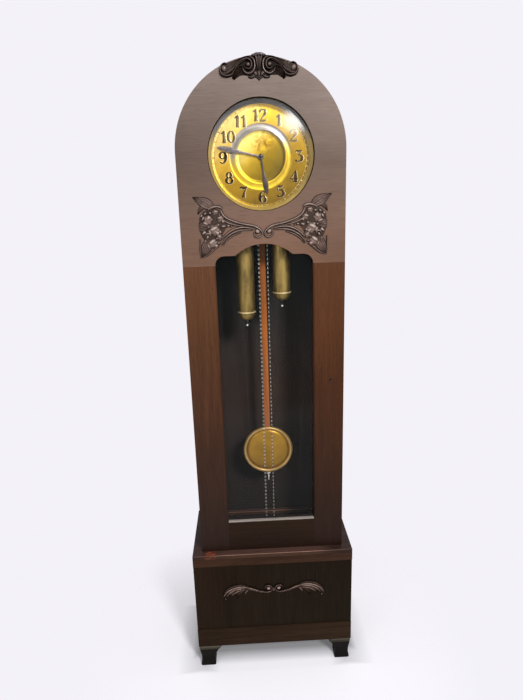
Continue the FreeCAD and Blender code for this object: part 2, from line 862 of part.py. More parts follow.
# ---- dial ----
def dial_plate():
    """The dial sheet with its turned-up rim and the four feet that stand it off the movement."""
    pieces = [rod_y(0, dial_z, dial_radius, dial_face, dial_back),
              tube_y(0, dial_z, dial_radius, dial_radius - dial_rim_width,
                     dial_face - dial_rim_height, dial_face)]
    for side in (-1, 1):
        for up in (-0.8 * dial_foot_spread, dial_foot_spread):
            pieces.append(rod_y(side * dial_foot_spread, dial_z + up, dial_foot_radius, dial_back,
                                front_plate_front))
    return union(pieces).cut(rod_y(0, dial_z, dial_hole_radius(), dial_face, dial_back))


def dial_hole_radius():
    return hour_pipe_radius() + dial_hole_clearance


def dial_centre_disc():
    """A thin disc with a raised ring at its edge, pinned to the dial plate."""
    front = dial_face - centre_disc_thickness
    floor = front + centre_ring_height
    disc = tube_y(0, dial_z, centre_disc_radius, dial_hole_radius(), floor, dial_face)
    ring = tube_y(0, dial_z, centre_disc_radius, centre_disc_radius - centre_ring_width, front,
                  floor)
    return union([disc, ring])


DIGITS = {
    "0": [[(0.5, 1.6), (0.1, 1.3), (0.0, 0.8), (0.1, 0.3), (0.5, 0.0), (0.9, 0.3), (1.0, 0.8),
           (0.9, 1.3), (0.5, 1.6)]],
    "1": [[(0.2, 1.3), (0.5, 1.6), (0.5, 0.0)]],
    "2": [[(0.0, 1.2), (0.2, 1.5), (0.5, 1.6), (0.9, 1.4), (0.9, 1.0), (0.0, 0.0), (1.0, 0.0)]],
    "3": [[(0.0, 1.4), (0.5, 1.6), (0.9, 1.3), (0.4, 0.85), (1.0, 0.45), (0.5, 0.0), (0.0, 0.2)]],
    "4": [[(0.75, 0.0), (0.75, 1.6), (0.0, 0.45), (1.0, 0.45)]],
    "5": [[(0.9, 1.6), (0.2, 1.6), (0.1, 0.9), (0.6, 1.0), (1.0, 0.5), (0.6, 0.0), (0.0, 0.2)]],
    "6": [[(0.8, 1.6), (0.3, 1.2), (0.0, 0.6), (0.4, 0.0), (0.9, 0.2), (0.9, 0.7), (0.4, 0.9),
           (0.1, 0.6)]],
    "7": [[(0.0, 1.6), (1.0, 1.6), (0.5, 0.7), (0.4, 0.0)]],
    "8": [[(0.5, 0.85), (0.1, 1.15), (0.3, 1.6), (0.7, 1.6), (0.9, 1.15), (0.5, 0.85), (0.0, 0.4),
           (0.3, 0.0), (0.7, 0.0), (1.0, 0.4), (0.5, 0.85)]],
    "9": [[(0.2, 0.0), (0.7, 0.4), (1.0, 1.0), (0.6, 1.6), (0.1, 1.4), (0.1, 0.9), (0.6, 0.7),
           (0.9, 1.0)]],
}


def numeral(text, x, z, y0, y1):
    """Upright figures made of straight strokes, centred on (x, z)."""
    scale = numeral_height / 1.6
    width = 0.62 * scale
    gap = 0.55 * numeral_stroke + width
    strokes = []
    for i, character in enumerate(text):
        left = x - width / 2 + (i - (len(text) - 1) / 2) * (gap + 0.2 * numeral_stroke)
        for path in DIGITS[character]:
            points = [(left + width * u, z + scale * (v - 0.8)) for u, v in path]
            for (ax, az), (bx, bz) in zip(points, points[1:]):
                strokes.append(ribbon([(ax, az), (bx, bz)], 0.6 * numeral_stroke, y0, y1))
    return union(strokes)


def dial_numerals():
    numerals = []
    for hour in range(1, 13):
        x, z = polar(0, dial_z, numeral_ring_radius, 30.0 * hour)
        numerals.append(numeral(str(hour), x, z, dial_face - numeral_thickness, dial_face))
    return numerals


# ---- hands ----
def cannon_pipe_radius():
    return pivot_radius + pipe_wall


def hour_pipe_radius():
    return cannon_pipe_radius() + running_clearance + pipe_wall


def hour_hand_back():
    return dial_face - centre_disc_thickness - hand_gap


def minute_hand_back():
    return hour_hand_back() - hand_thickness - hand_gap


def leaf_hand(length, width, degrees, boss_radius, bore, back):
    """A slender leaf-shaped hand with a round boss, cut for the pipe that carries it."""
    front = back - hand_thickness
    neck = polar(0, dial_z, 0.3 * length, degrees)
    tip = polar(0, dial_z, length, degrees)
    stem_end = polar(0, dial_z, 0.42 * length, degrees)
    pieces = [leaf(neck, tip, width, front, back),
              ribbon([(0, dial_z), stem_end], 0.42 * width, front, back),
              rod_y(0, dial_z, boss_radius, front, back)]
    return union(pieces).cut(rod_y(0, dial_z, bore, front, back))


def minute_hand():
    return leaf_hand(minute_hand_length, minute_hand_width, minute_hand_angle,
                     minute_boss_radius, cannon_pipe_radius(), minute_hand_back())


def hour_hand():
    return leaf_hand(hour_hand_length, hour_hand_width, hour_hand_angle, hour_boss_radius,
                     hour_pipe_radius(), hour_hand_back())


def hand_nut():
    back = minute_hand_back() - hand_thickness
    return rod_y(0, dial_z, hand_nut_radius, back - hand_nut_height, back)


# ---- movement ----
def wheel_places():
    """Middle (x, z) of every arbor that runs between the plates."""
    return {"centre": (0.0, dial_z), "great": (great_x, great_z), "strike": (strike_x, strike_z),
            "third": (third_x, third_z), "escape": (0.0, escape_z),
            "anchor": (0.0, suspension_z), "hammer": hammer_axis()}


def plate_outline(y0):
    return box(-plate_left, plate_right, y0, y0 + plate_thickness, seat_top, plate_top)


def movement_plate(y0, wide_holes):
    """A brass plate drilled for every pivot; wide_holes gives the arbors that pass right through."""
    sheet = plate_outline(y0)
    holes = []
    for name, (x, z) in wheel_places().items():
        radius = wide_holes.get(name, pivot_radius) + running_clearance
        holes.append(rod_y(x, z, radius, y0, y0 + plate_thickness))
    return sheet.cut(holes)


def movement_pillars():
    pillars = []
    for x in (-plate_left + pillar_inset, plate_right - pillar_inset):
        for z in (seat_top + pillar_inset, plate_top - pillar_inset):
            pillars.append(rod_y(x, z, pillar_radius, front_plate_back, back_plate_front))
    return pillars


def arbor(name, y0=None, y1=None):
    """A round arbor between the plates with a finer pivot at each end."""
    x, z = wheel_places()[name]
    return [rod_y(x, z, arbor_radius, front_plate_back + arbor_end_shake,
                  back_plate_front - arbor_end_shake),
            rod_y(x, z, pivot_radius, front_plate_front if y0 is None else y0,
                  back_plate_back if y1 is None else y1)]


def direction(a, b):
    (ax, az), (bx, bz) = wheel_places()[a], wheel_places()[b]
    return math.atan2(bz - az, bx - ax)


def chain_wheel(name, teeth):
    """A great wheel with the grooved chain wheel beside it on the same arbor."""
    x, z = wheel_places()[name]
    wheel = toothed(x, z, teeth, great_module, WHEEL_TOOTH, 0.0, great_wheel_y, wheel_thickness)
    rim = teeth * great_module / 2 - wheel_rim_width
    wheel = crossed_out(wheel, x, z, rim, great_hub_radius, 5, great_wheel_y, wheel_thickness)
    core = sprocket_pitch_radius - chain_radius - sprocket_core_clearance
    flange = sprocket_pitch_radius + chain_radius
    y = sprocket_y
    pieces = [wheel, rod_y(x, z, core, y, y + 2 * sprocket_flange + sprocket_groove),
              rod_y(x, z, flange, y, y + sprocket_flange),
              rod_y(x, z, flange, y + sprocket_flange + sprocket_groove,
                    y + 2 * sprocket_flange + sprocket_groove)]
    return union(pieces + arbor(name))


def time_great_wheel():
    return chain_wheel("great", great_teeth)


def strike_great_wheel():
    return chain_wheel("strike", strike_great_teeth)


def centre_wheel():
    """Centre arbor with its pinion and wheel, and the cannon pipe that carries the minute hand."""
    x, z = wheel_places()["centre"]
    phase = mate_phase(0.0, great_teeth, centre_pinion_teeth, direction("great", "centre"))
    wheel = toothed(x, z, centre_teeth, centre_module, WHEEL_TOOTH, 0.0, centre_wheel_y,
                    wheel_thickness)
    wheel = crossed_out(wheel, x, z, centre_teeth * centre_module / 2 - wheel_rim_width,
                        hub_radius, 4, centre_wheel_y, wheel_thickness)
    pipe_back = minute_wheel_y + wheel_thickness + pinion_overhang
    pipe = rod_y(x, z, cannon_pipe_radius(), minute_hand_back() - hand_thickness, pipe_back)
    front = rod_y(x, z, pivot_radius, pipe_back, front_plate_back)
    return union([pinion(x, z, centre_pinion_teeth, great_module, phase, great_wheel_y), wheel,
                  pinion(x, z, cannon_teeth, cannon_module, 0.0, minute_wheel_y), pipe, front]
                 + arbor("centre"))


def third_wheel():
    x, z = wheel_places()["third"]
    phase = mate_phase(0.0, centre_teeth, third_pinion_teeth, direction("centre", "third"))
    wheel = toothed(x, z, third_teeth, third_module, WHEEL_TOOTH, 0.0, third_wheel_y,
                    wheel_thickness)
    wheel = crossed_out(wheel, x, z, third_teeth * third_module / 2 - wheel_rim_width,
                        hub_radius, 4, third_wheel_y, wheel_thickness)
    leaves = pinion(x, z, third_pinion_teeth, centre_module, phase, centre_wheel_y)
    return union([leaves, wheel] + arbor("third"))


def escape_wheel():
    """Thirty pointed teeth that lean forward, on an arbor with an eight-leaf pinion."""
    x, z = wheel_places()["escape"]
    phase = mate_phase(0.0, third_teeth, escape_pinion_teeth, direction("third", "escape"))
    leaves = pinion(x, z, escape_pinion_teeth, third_module, phase, third_wheel_y)
    points = []
    root = escape_radius - 4.0
    for i in range(escape_teeth):
        for radius, share in ((root, 0.0), (escape_radius, 0.45), (escape_radius, 0.52),
                              (root, 0.62)):
            turn = -2 * math.pi * (i + share) / escape_teeth
            points.append((x + radius * math.cos(turn), z + radius * math.sin(turn)))
    thickness = 0.75 * wheel_thickness
    wheel = plate(points, escape_wheel_y, escape_wheel_y + thickness)
    wheel = crossed_out(wheel, x, z, root - escape_rim_width, escape_hub_radius, 4,
                        escape_wheel_y, thickness)
    return union([leaves, wheel] + arbor("escape"))


def minute_wheel():
    """Motion-work wheel and pinion that turn on a stud in the front plate."""
    x, z = minute_wheel_x, minute_wheel_z
    phase = mate_phase(0.0, cannon_teeth, minute_wheel_teeth, math.radians(minute_wheel_direction))
    wheel = toothed(x, z, minute_wheel_teeth, cannon_module, WHEEL_TOOTH, phase, minute_wheel_y,
                    wheel_thickness)
    front = hour_wheel_y - pinion_overhang
    leaves = toothed(x, z, minute_pinion_teeth, hour_module, PINION_LEAF, 0.0, front,
                     minute_wheel_y - front)
    bore = rod_y(x, z, pivot_radius + running_clearance, front, front_plate_front)
    return union([wheel, leaves]).cut(bore)


def minute_stud():
    return rod_y(minute_wheel_x, minute_wheel_z, pivot_radius,
                 hour_wheel_y - 2 * pinion_overhang, front_plate_front)


def hour_wheel():
    """The wheel and pipe that carry the hour hand, running on the cannon pipe."""
    turn = math.radians(minute_wheel_direction) + math.pi
    phase = mate_phase(0.0, minute_pinion_teeth, hour_wheel_teeth, turn)
    wheel = toothed(0, dial_z, hour_wheel_teeth, hour_module, WHEEL_TOOTH, phase, hour_wheel_y,
                    wheel_thickness)
    front = hour_hand_back() - hand_thickness
    pipe = rod_y(0, dial_z, hour_pipe_radius(), front, hour_wheel_y)
    bore = rod_y(0, dial_z, cannon_pipe_radius() + running_clearance, front,
                 hour_wheel_y + wheel_thickness)
    return union([wheel, pipe]).cut(bore)


# ---- anchor, cock and pendulum ----
def anchor():
    """Anchor with its arbor, and the crutch whose fork takes the pendulum rod."""
    inner = escape_radius + anchor_clearance
    y0, y1 = escape_wheel_y - 0.5, escape_wheel_y + 0.75 * wheel_thickness + 0.5
    ring = tube_y(0, escape_z, inner + anchor_arm, inner, y0, y1)
    reach = 2 * escape_radius
    low = polar(0, escape_z, reach, anchor_spread)
    wedge = plate([(0, escape_z), (-low[0], low[1]), (-reach, escape_z + reach * 1.5),
                   (reach, escape_z + reach * 1.5), low], y0, y1)
    back = back_plate_back + crutch_gap
    half_rod = rod_width / 2 + fork_fit
    fork_z = suspension_z - crutch_drop
    fork_back = pendulum_y + rod_thickness / 2 + fork_overhang
    fork_low, fork_high = fork_z - fork_height / 2, fork_z + fork_height / 2
    pieces = [ring.common(wedge),
              box(-anchor_stem_width / 2, anchor_stem_width / 2, y0, y1,
                  escape_z + inner + anchor_arm / 2, suspension_z),
              box(-crutch_width / 2, crutch_width / 2, back, back + crutch_thickness, fork_low,
                  suspension_z + arbor_radius),
              box(-half_rod - fork_prong, half_rod + fork_prong, back, back + crutch_thickness,
                  fork_low, fork_high)]
    for x0 in (-half_rod - fork_prong, half_rod):
        pieces.append(box(x0, x0 + fork_prong, back, fork_back, fork_low, fork_high))
    rear = cock_front + cock_thickness
    core = rod_y(0, suspension_z, arbor_radius, front_plate_back + arbor_end_shake,
                 cock_front - arbor_end_shake)
    pivot = rod_y(0, suspension_z, pivot_radius, front_plate_front, rear)
    return union(pieces + [core, pivot])


def pendulum_cock():
    """A bridge behind the back plate with the arm and spring stub that hang the pendulum."""
    back = cock_front + cock_thickness
    arm_low = suspension_z + spring_stub
    arm_high = arm_low + cock_arm_height
    bridge = box(-cock_half_width, cock_half_width, cock_front, back, suspension_z - cock_below,
                 arm_high)
    arm = box(-cock_arm_width / 2, cock_arm_width / 2, back, pendulum_y + spring_width, arm_low,
              arm_high)
    legs = [rod_y(x, suspension_z, cock_leg_radius, back_plate_back, cock_front)
            for x in (-cock_half_width + cock_leg_radius, cock_half_width - cock_leg_radius)]
    stub = box(-spring_thickness / 2, spring_thickness / 2, pendulum_y - spring_width / 2,
               pendulum_y + spring_width / 2, suspension_z + spring_split, arm_low)
    bore = rod_y(0, suspension_z, pivot_radius + running_clearance, cock_front, back)
    return union([bridge, arm, stub] + legs).cut(bore)


def pendulum_rod():
    """Flat wooden rod with a brass ferrule and spring above it and a threaded stud below."""
    top = suspension_z - spring_length
    low = bob_z - bob_radius + rod_end_rise
    spring = box(-spring_thickness / 2, spring_thickness / 2, pendulum_y - spring_width / 2,
                 pendulum_y + spring_width / 2, top, suspension_z - spring_split)
    ferrule = box(-ferrule_width / 2, ferrule_width / 2, pendulum_y - ferrule_thickness / 2,
                  pendulum_y + ferrule_thickness / 2, top - ferrule_height, top)
    rod = box(-rod_width / 2, rod_width / 2, pendulum_y - rod_thickness / 2,
              pendulum_y + rod_thickness / 2, low, top - ferrule_height)
    stud = rod_z(0, pendulum_y, rating_thread_radius, bob_z - bob_radius - rating_thread_length,
                 low)
    return [spring, ferrule, rod, stud]


def pendulum_bob():
    """A lens-shaped bob with a flat raised rim, slotted for the rod that runs through it."""
    half = bob_thickness / 2
    dome_radius = bob_radius - bob_rim_width
    rise = half - bob_rim

    def point(r, y):
        return Vector(r, pendulum_y + y, bob_z)

    sphere = (dome_radius ** 2 + rise ** 2) / (2 * rise)
    turn = math.asin(dome_radius / sphere) / 2
    mid = (sphere * math.sin(turn), half - sphere * (1 - math.cos(turn)))
    front = [point(0, -half), point(mid[0], -mid[1]), point(dome_radius, -bob_rim)]
    back = [point(dome_radius, bob_rim), point(mid[0], mid[1]), point(0, half)]
    rim = [point(bob_radius, -bob_rim), point(bob_radius, bob_rim)]
    edges = [arc(*front), line(front[2], rim[0]), line(rim[0], rim[1]), line(rim[1], back[0]),
             arc(*back), line(back[2], front[0])]
    lens = Part.Face(Part.Wire(edges)).revolve(Vector(0, 0, bob_z), Vector(0, 1, 0), 360)
    low = bob_z - bob_radius + rod_end_rise
    slot = box(-rod_width / 2, rod_width / 2, pendulum_y - rod_thickness / 2,
               pendulum_y + rod_thickness / 2, low, bob_z + bob_radius)
    hole = rod_z(0, pendulum_y, rating_thread_radius, bob_z - bob_radius - 1.0, low)
    return lens.cut([slot, hole])


def rating_nut():
    top = bob_z - bob_radius
    nut = rod_z(0, pendulum_y, rating_nut_radius, top - rating_nut_height, top)
    return nut.cut(rod_z(0, pendulum_y, rating_thread_radius, top - rating_nut_height, top))


# ---- weights and chains ----
def weight(x, bottom):
    """A brass weight: a ball and a disc on a neck below a full dome, a beaded cylinder, a low cap
    and a ring to hang it by."""
    dome_low = bottom + weight_finial_height
    disc_high = dome_low - weight_disc_gap
    disc_low = disc_high - weight_disc_thickness
    body_low = dome_low + weight_dome_height
    body_top = body_low + weight_body_height
    r = weight_radius
    profile = [(0, bottom)]
    for i in range(1, 5):
        turn = math.radians(35.0 * i)
        profile.append((weight_ball_radius * math.sin(turn),
                        bottom + weight_ball_radius * (1 - math.cos(turn))))
    profile += [(weight_neck_radius, disc_low), (weight_disc_radius, disc_low),
                (weight_disc_radius, disc_high), (weight_neck_radius, disc_high),
                (weight_neck_radius, dome_low)]
    for i in range(1, 7):
        turn = math.radians(13.0 * i)
        profile.append((r * math.sqrt(math.sin(turn)),
                        dome_low + weight_dome_height * (1 - math.cos(turn))))
    bead = r + weight_bead
    profile += [(r, body_low), (bead, body_low), (bead, body_low + weight_bead_height),
                (r, body_low + weight_bead_height), (r, body_top - weight_bead_height),
                (bead, body_top - weight_bead_height), (bead, body_top), (r, body_top),
                (0.6 * r, body_top + 0.6 * weight_cap_height), (3.5, body_top + weight_cap_height),
                (0, body_top + weight_cap_height)]
    ring = Part.makeTorus(weight_hook_radius, weight_hook_wire,
                          Vector(x, chain_y, body_top + weight_cap_height + weight_hook_radius),
                          Vector(0, 1, 0))
    return union([turned(profile, x, chain_y), ring])


def weight_top(bottom):
    return (bottom + weight_finial_height + weight_dome_height + weight_body_height
            + weight_cap_height + 2 * weight_hook_radius + weight_hook_wire)


def chain_loaded(wheel_x, weight_bottom):
    """The chain run from the weight's ring up to the chain wheel."""
    return rod_z(wheel_x, chain_y, chain_radius, weight_top(weight_bottom), great_z)


def chain_free(wheel_x, tail):
    """The free run that hangs down inside the chain wheel, with the ring at its end."""
    low = great_z - tail
    ring = Part.makeTorus(chain_ring_radius, chain_ring_wire,
                          Vector(wheel_x, chain_y, low - chain_ring_radius), Vector(0, 1, 0))
    run = rod_z(wheel_x, chain_y, chain_radius, low + chain_ring_wire, great_z)
    return [run, ring]


# ---- gong and hammer ----
def gong_turns():
    """Half circles of the gong's spiral, from the inside out, as (centre x, radius, side)."""
    turns = []
    centre, radius, side = 0.0, gong_inner_radius, 1
    for _ in range(gong_half_turns):
        turns.append((centre, radius, side))
        centre += side * gong_turn_pitch / 4
        radius += gong_turn_pitch / 4
        side = -side
    return turns


def gong_reach():
    """How far right the outermost turn of the gong reaches, with its wire."""
    return max(centre + radius for centre, radius, side in gong_turns()) + gong_wire


def gong_coil():
    """A flat spiral of steel wire made of half circles that grow outwards."""
    edges = []
    for centre, radius, side in gong_turns():
        edges.append(arc(Vector(centre + side * radius, gong_y, gong_z),
                         Vector(centre, gong_y, gong_z + side * radius),
                         Vector(centre - side * radius, gong_y, gong_z)))
    section = Part.makeCircle(gong_wire, Vector(gong_inner_radius, gong_y, gong_z),
                              Vector(0, 0, 1))
    return Part.Wire(edges).makePipeShell([Part.Wire(section)], True, False)


def hammer_axis():
    """Where the hammer's arbor runs: beside the gong, and clear of the strike wheel's teeth."""
    x = gong_reach() + hammer_gap + hammer_head_length / 2
    distance = strike_reach + arbor_radius + hammer_arbor_clearance
    across = min(abs(x - strike_x), distance)
    return x, strike_z + math.sqrt(distance ** 2 - across ** 2)


def gong_block():
    """A block on the back board with the post that carries the inner end of the gong."""
    half = gong_block_size / 2
    post_front = gong_y - gong_wire
    front = gong_y + gong_block_gap
    block = box(-half, half, front, back_front, gong_z - half, gong_z + half)
    post = rod_y(0, gong_z, gong_post_radius, post_front, front)
    return union([block, post])


def hammer():
    """A round-headed hammer hanging from a long arbor, beside the outermost turn of the gong."""
    x, hammer_z = hammer_axis()
    half_head = hammer_head_length / 2
    arbor_back = gong_y + hammer_boss_radius / 2
    pieces = arbor("hammer", y1=arbor_back)
    pieces.append(rod_y(x, hammer_z, hammer_boss_radius, gong_y - hammer_boss_radius / 2,
                        arbor_back))
    pieces.append(rod_z(x, gong_y, hammer_arm_radius, gong_z, hammer_z))
    pieces.append(rod_x(gong_y, gong_z, hammer_head_radius, x - half_head, x + half_head))
    return union(pieces)


def main():
    os.makedirs("parts", exist_ok=True)
    save("base_side_left", base_side(-1))
    save("base_side_right", base_side(1))
    save("base_front_rails", *base_front_rails())
    save("base_front_panel", base_front_panel())
    save("base_top_board", base_top_board())
    save("base_floor", base_floor())
    foot_reach = foot_inset + foot_plate_width / 2
    save("front_feet", *foot_pair(base_front + foot_reach))
    save("rear_feet", *foot_pair(base_back - foot_reach))
    save("plinth_carving", plinth_carving())

    save("case_side_left", case_side(-1))
    save("case_side_right", case_side(1))
    save("arch_roof", arch_roof())
    save("back_board", back_board())
    save("seat_board", seat_board())
    save("seat_cleats", *seat_cleats())

    save("door_stile_left", door_stile(-1))
    save("door_stile_right", door_stile(1))
    save("door_bottom_rail", door_bottom_rail())
    save("door_arch_board", door_arch_board())
    save("window_glass", window_glass())
    save("window_beads", *window_beads())
    save("dial_glass", dial_glass())
    save("dial_bezel", dial_bezel())
    save("crest_carving", crest_carving())
    save("spandrel_carving", *spandrel_carving())
    save("hinge_case_leaves", *[hinge_leaf(z, False) for z in hinge_levels()])
    save("hinge_door_leaves", *[hinge_leaf(z, True) for z in hinge_levels()])
    save("hinge_pins", *hinge_pins())
    save("door_lock", door_lock())
    save("lock_bolt", lock_bolt())

    save("dial_plate", dial_plate())
    save("dial_centre_disc", dial_centre_disc())
    save("dial_numerals", *dial_numerals())
    save("minute_hand", minute_hand())
    save("hour_hand", hour_hand())
    save("hand_nut", hand_nut())

    save("movement_front_plate", union([movement_plate(front_plate_front, {}), minute_stud()]))
    save("movement_back_plate", movement_plate(back_plate_front, {"anchor": arbor_radius + 1.0}))
    save("movement_pillars", *movement_pillars())
    save("time_great_wheel", time_great_wheel())
    save("strike_great_wheel", strike_great_wheel())
    save("centre_wheel", centre_wheel())
    save("third_wheel", third_wheel())
    save("escape_wheel", escape_wheel())
    save("minute_wheel", minute_wheel())
    save("hour_wheel", hour_wheel())
    save("anchor", anchor())
    save("pendulum_cock", pendulum_cock())
    save("pendulum_rod", *pendulum_rod())
    save("pendulum_bob", pendulum_bob())
    save("rating_nut", rating_nut())

    time_outer = great_x - sprocket_pitch_radius
    time_inner = great_x + sprocket_pitch_radius
    strike_outer = strike_x + sprocket_pitch_radius
    strike_inner = strike_x - sprocket_pitch_radius
    save("time_weight", weight(time_outer, time_weight_z))
    save("strike_weight", weight(strike_outer, strike_weight_z))
    save("time_chain_loaded", chain_loaded(time_outer, time_weight_z))
    save("strike_chain_loaded", chain_loaded(strike_outer, strike_weight_z))
    save("time_chain_free", *chain_free(time_inner, time_chain_tail))
    save("strike_chain_free", *chain_free(strike_inner, strike_chain_tail))

    save("gong_block", gong_block())
    save("gong_coil", gong_coil())
    save("hammer", hammer())


main()
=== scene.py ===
import math

import bmesh
import bpy
import numpy as np
from mathutils import Matrix, Vector


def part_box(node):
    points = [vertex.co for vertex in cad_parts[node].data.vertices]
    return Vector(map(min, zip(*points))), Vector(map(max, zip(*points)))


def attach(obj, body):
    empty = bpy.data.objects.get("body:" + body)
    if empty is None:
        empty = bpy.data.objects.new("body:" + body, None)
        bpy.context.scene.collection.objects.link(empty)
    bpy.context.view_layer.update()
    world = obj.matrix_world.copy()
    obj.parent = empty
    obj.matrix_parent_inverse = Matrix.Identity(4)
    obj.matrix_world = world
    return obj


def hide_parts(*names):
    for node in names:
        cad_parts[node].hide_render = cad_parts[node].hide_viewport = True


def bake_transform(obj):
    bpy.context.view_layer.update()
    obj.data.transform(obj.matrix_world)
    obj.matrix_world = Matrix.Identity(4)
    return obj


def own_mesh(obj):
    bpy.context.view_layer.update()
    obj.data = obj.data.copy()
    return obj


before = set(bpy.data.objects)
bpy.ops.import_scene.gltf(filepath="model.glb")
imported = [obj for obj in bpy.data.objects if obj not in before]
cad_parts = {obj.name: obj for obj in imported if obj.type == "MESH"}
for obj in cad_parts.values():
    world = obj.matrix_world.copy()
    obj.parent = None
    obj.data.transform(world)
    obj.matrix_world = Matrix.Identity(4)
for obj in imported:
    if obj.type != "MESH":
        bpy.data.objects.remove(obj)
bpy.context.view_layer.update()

# A round-arched oak longcase clock. Lengths are written in millimetres and turned to metres in the
# meshes; the materials' heights, places and radii are in metres. X runs to the right, Y from the
# front to the back, and Z up.
MM = 0.001


# ---- heights and depths that several pieces share ----
def node_box(name):
    """Lowest and highest corner of a CAD node in millimetres, to a hundredth."""
    low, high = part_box(name)
    return np.round(np.array(low) / MM, 2), np.round(np.array(high) / MM, 2)


(_, door_front, seam_z), (_, door_back, case_top) = node_box("door_arch_board")
window_foot = node_box("door_bottom_rail")[1][2]
base_foot = node_box("base_front_rails")[0][2]
ledge_z = node_box("base_top_board")[1][2]
panel_face = node_box("plinth_carving")[1][1]
plate_low, plate_high = node_box("dial_plate")
dial_z = round((plate_low[2] + plate_high[2]) / 2, 1)
dial_face = node_box("dial_numerals")[1][1]
bob_low, bob_high = node_box("pendulum_bob")
pendulum_y = (bob_low[1] + bob_high[1]) / 2
bob_z = bob_low[2] + bob_high[0]

# ---- camera ----
EYE = (-63.617, -1549.985, dial_z - 159.514)
YAW, PITCH, ROLL = 0.0334, 0.2580, -0.0307
SENSOR = 36.0
LENS = 505.0 / 700.0 * SENSOR


def set_camera():
    """Eye 63.6 mm left of the middle, 1.55 m in front and 159.5 mm below the arbor, turned 1.9
    degrees right, 14.8 down and 1.8 about its own line of sight. The line of sight is
    (sin yaw cos pitch, cos yaw cos pitch, -sin pitch)."""
    forward = np.array([math.sin(YAW) * math.cos(PITCH), math.cos(YAW) * math.cos(PITCH),
                        -math.sin(PITCH)])
    right = np.array([math.cos(YAW), -math.sin(YAW), 0.0])
    up = np.cross(right, forward)
    side = math.cos(ROLL) * right + math.sin(ROLL) * up
    top = math.cos(ROLL) * up - math.sin(ROLL) * right
    data = bpy.data.cameras.new("camera")
    data.sensor_width = SENSOR
    data.lens = LENS
    data.clip_start = 0.05
    camera = bpy.data.objects.new("camera", data)
    facing = Matrix(np.column_stack([side, top, -forward]).tolist()).to_4x4()
    camera.matrix_world = Matrix.Translation(Vector(EYE) * MM) @ facing
    bpy.context.scene.collection.objects.link(camera)
    bpy.context.scene.camera = camera


# ---- node helpers ----
def fill(tree, made, inputs):
    """Give each input of a node a value, or link another node's output to it."""
    for key, value in inputs.items():
        if isinstance(value, bpy.types.NodeSocket):
            tree.links.new(value, made.inputs[key])
        else:
            made.inputs[key].default_value = value


def node(tree, kind, inputs=None, **settings):
    """One node with its settings and inputs."""
    made = tree.nodes.new(kind)
    for key, value in settings.items():
        setattr(made, key, value)
    fill(tree, made, inputs or {})
    return made


def maths(tree, operation, *values):
    """Numbers put through one operation."""
    return node(tree, "ShaderNodeMath", dict(enumerate(values)), operation=operation).outputs[0]


def vectors(tree, operation, *values):
    """Vectors put through one operation. A length, distance or dot product is a number."""
    made = node(tree, "ShaderNodeVectorMath", dict(enumerate(values)), operation=operation)
    number = operation in ("LENGTH", "DISTANCE", "DOT_PRODUCT")
    return made.outputs["Value" if number else "Vector"]


def axes(tree, vector):
    """The three parts of a vector: to the right, to the back and up."""
    return node(tree, "ShaderNodeSeparateXYZ", {"Vector": vector}).outputs[:]


def level(tree, value, low, high, to_low=0.0, to_high=1.0):
    """A number that runs from to_low to to_high as value runs from low to high."""
    made = node(tree, "ShaderNodeMapRange", {"Value": value, "From Min": low, "From Max": high,
                                             "To Min": to_low, "To Max": to_high})
    return made.outputs[0]


def ramp(tree, factor, stops):
    """A colour ramp whose stops are (place, colour or grey)."""
    made = node(tree, "ShaderNodeValToRGB", {"Fac": factor})
    elements = made.color_ramp.elements
    while len(elements) < len(stops):
        elements.new(0.5)
    for element, (place, colour) in zip(elements, stops):
        element.position = place
        shade = tuple(colour) if isinstance(colour, (tuple, list)) else (colour,) * 3
        element.color = shade + (1.0,)
    return made.outputs["Color"]


def tinted(tree, value, tints):
    """The colour that tints, rows of (place, colour), have where value is the place."""
    low, high = tints[0][0], tints[-1][0]
    stops = [((place - low) / (high - low), colour) for place, colour in tints]
    return ramp(tree, level(tree, value, low, high), stops)


def mixed(tree, a, b, factor=1.0, blend="MULTIPLY"):
    """Two colours multiplied, or blended otherwise, by a factor."""
    first, second = (colour + (1.0,) if isinstance(colour, tuple) else colour for colour in (a, b))
    made = node(tree, "ShaderNodeMix", {0: factor, 6: first, 7: second}, data_type="RGBA",
                blend_type=blend)
    return made.outputs[2]


def noise(tree, place, cells, detail=4.0, roughness=0.55, distortion=0.0):
    """Noise in the object's own space. cells gives its cells per metre, one number or (x, y, z)."""
    stretch = cells if isinstance(cells, tuple) else (cells,) * 3
    mapping = node(tree, "ShaderNodeMapping", {"Vector": place, "Scale": stretch})
    made = node(tree, "ShaderNodeTexNoise", {"Vector": mapping.outputs[0], "Scale": 1.0,
                                             "Detail": detail, "Roughness": roughness,
                                             "Distortion": distortion})
    return made.outputs[0]


# Noise seldom leaves these bounds.
NOISE_LOW, NOISE_HIGH = 0.3, 0.7


def varied(tree, grain, low, high):
    """A number that wanders between low and high with the noise grain."""
    return level(tree, grain, NOISE_LOW, NOISE_HIGH, low, high)


def shaded(tree, grain, low, high):
    """A colour or grey that wanders between low and high with the noise grain."""
    return ramp(tree, grain, [(NOISE_LOW, low), (NOISE_HIGH, high)])


def new_material(name):
    """A material, its node tree and the place on the piece in metres."""
    made = bpy.data.materials.new(name)
    made.use_nodes = True
    tree = made.node_tree
    return made, tree, node(tree, "ShaderNodeTexCoord").outputs["Object"]


def dress(made, colour, rough, relief, bump, depth, **others):
    """The material with its shader's colour and roughness, a bump of the given strength and depth
    in metres, and other sockets, whose names are written with _ for a space."""
    tree = made.node_tree
    raised = node(tree, "ShaderNodeBump", {"Strength": bump, "Distance": depth, "Height": relief})
    sockets = {"Base Color": colour, "Roughness": rough, "Normal": raised.outputs[0]}
    sockets.update({key.replace("_", " "): value for key, value in others.items()})
    fill(tree, tree.nodes["Principled BSDF"], sockets)
    return made


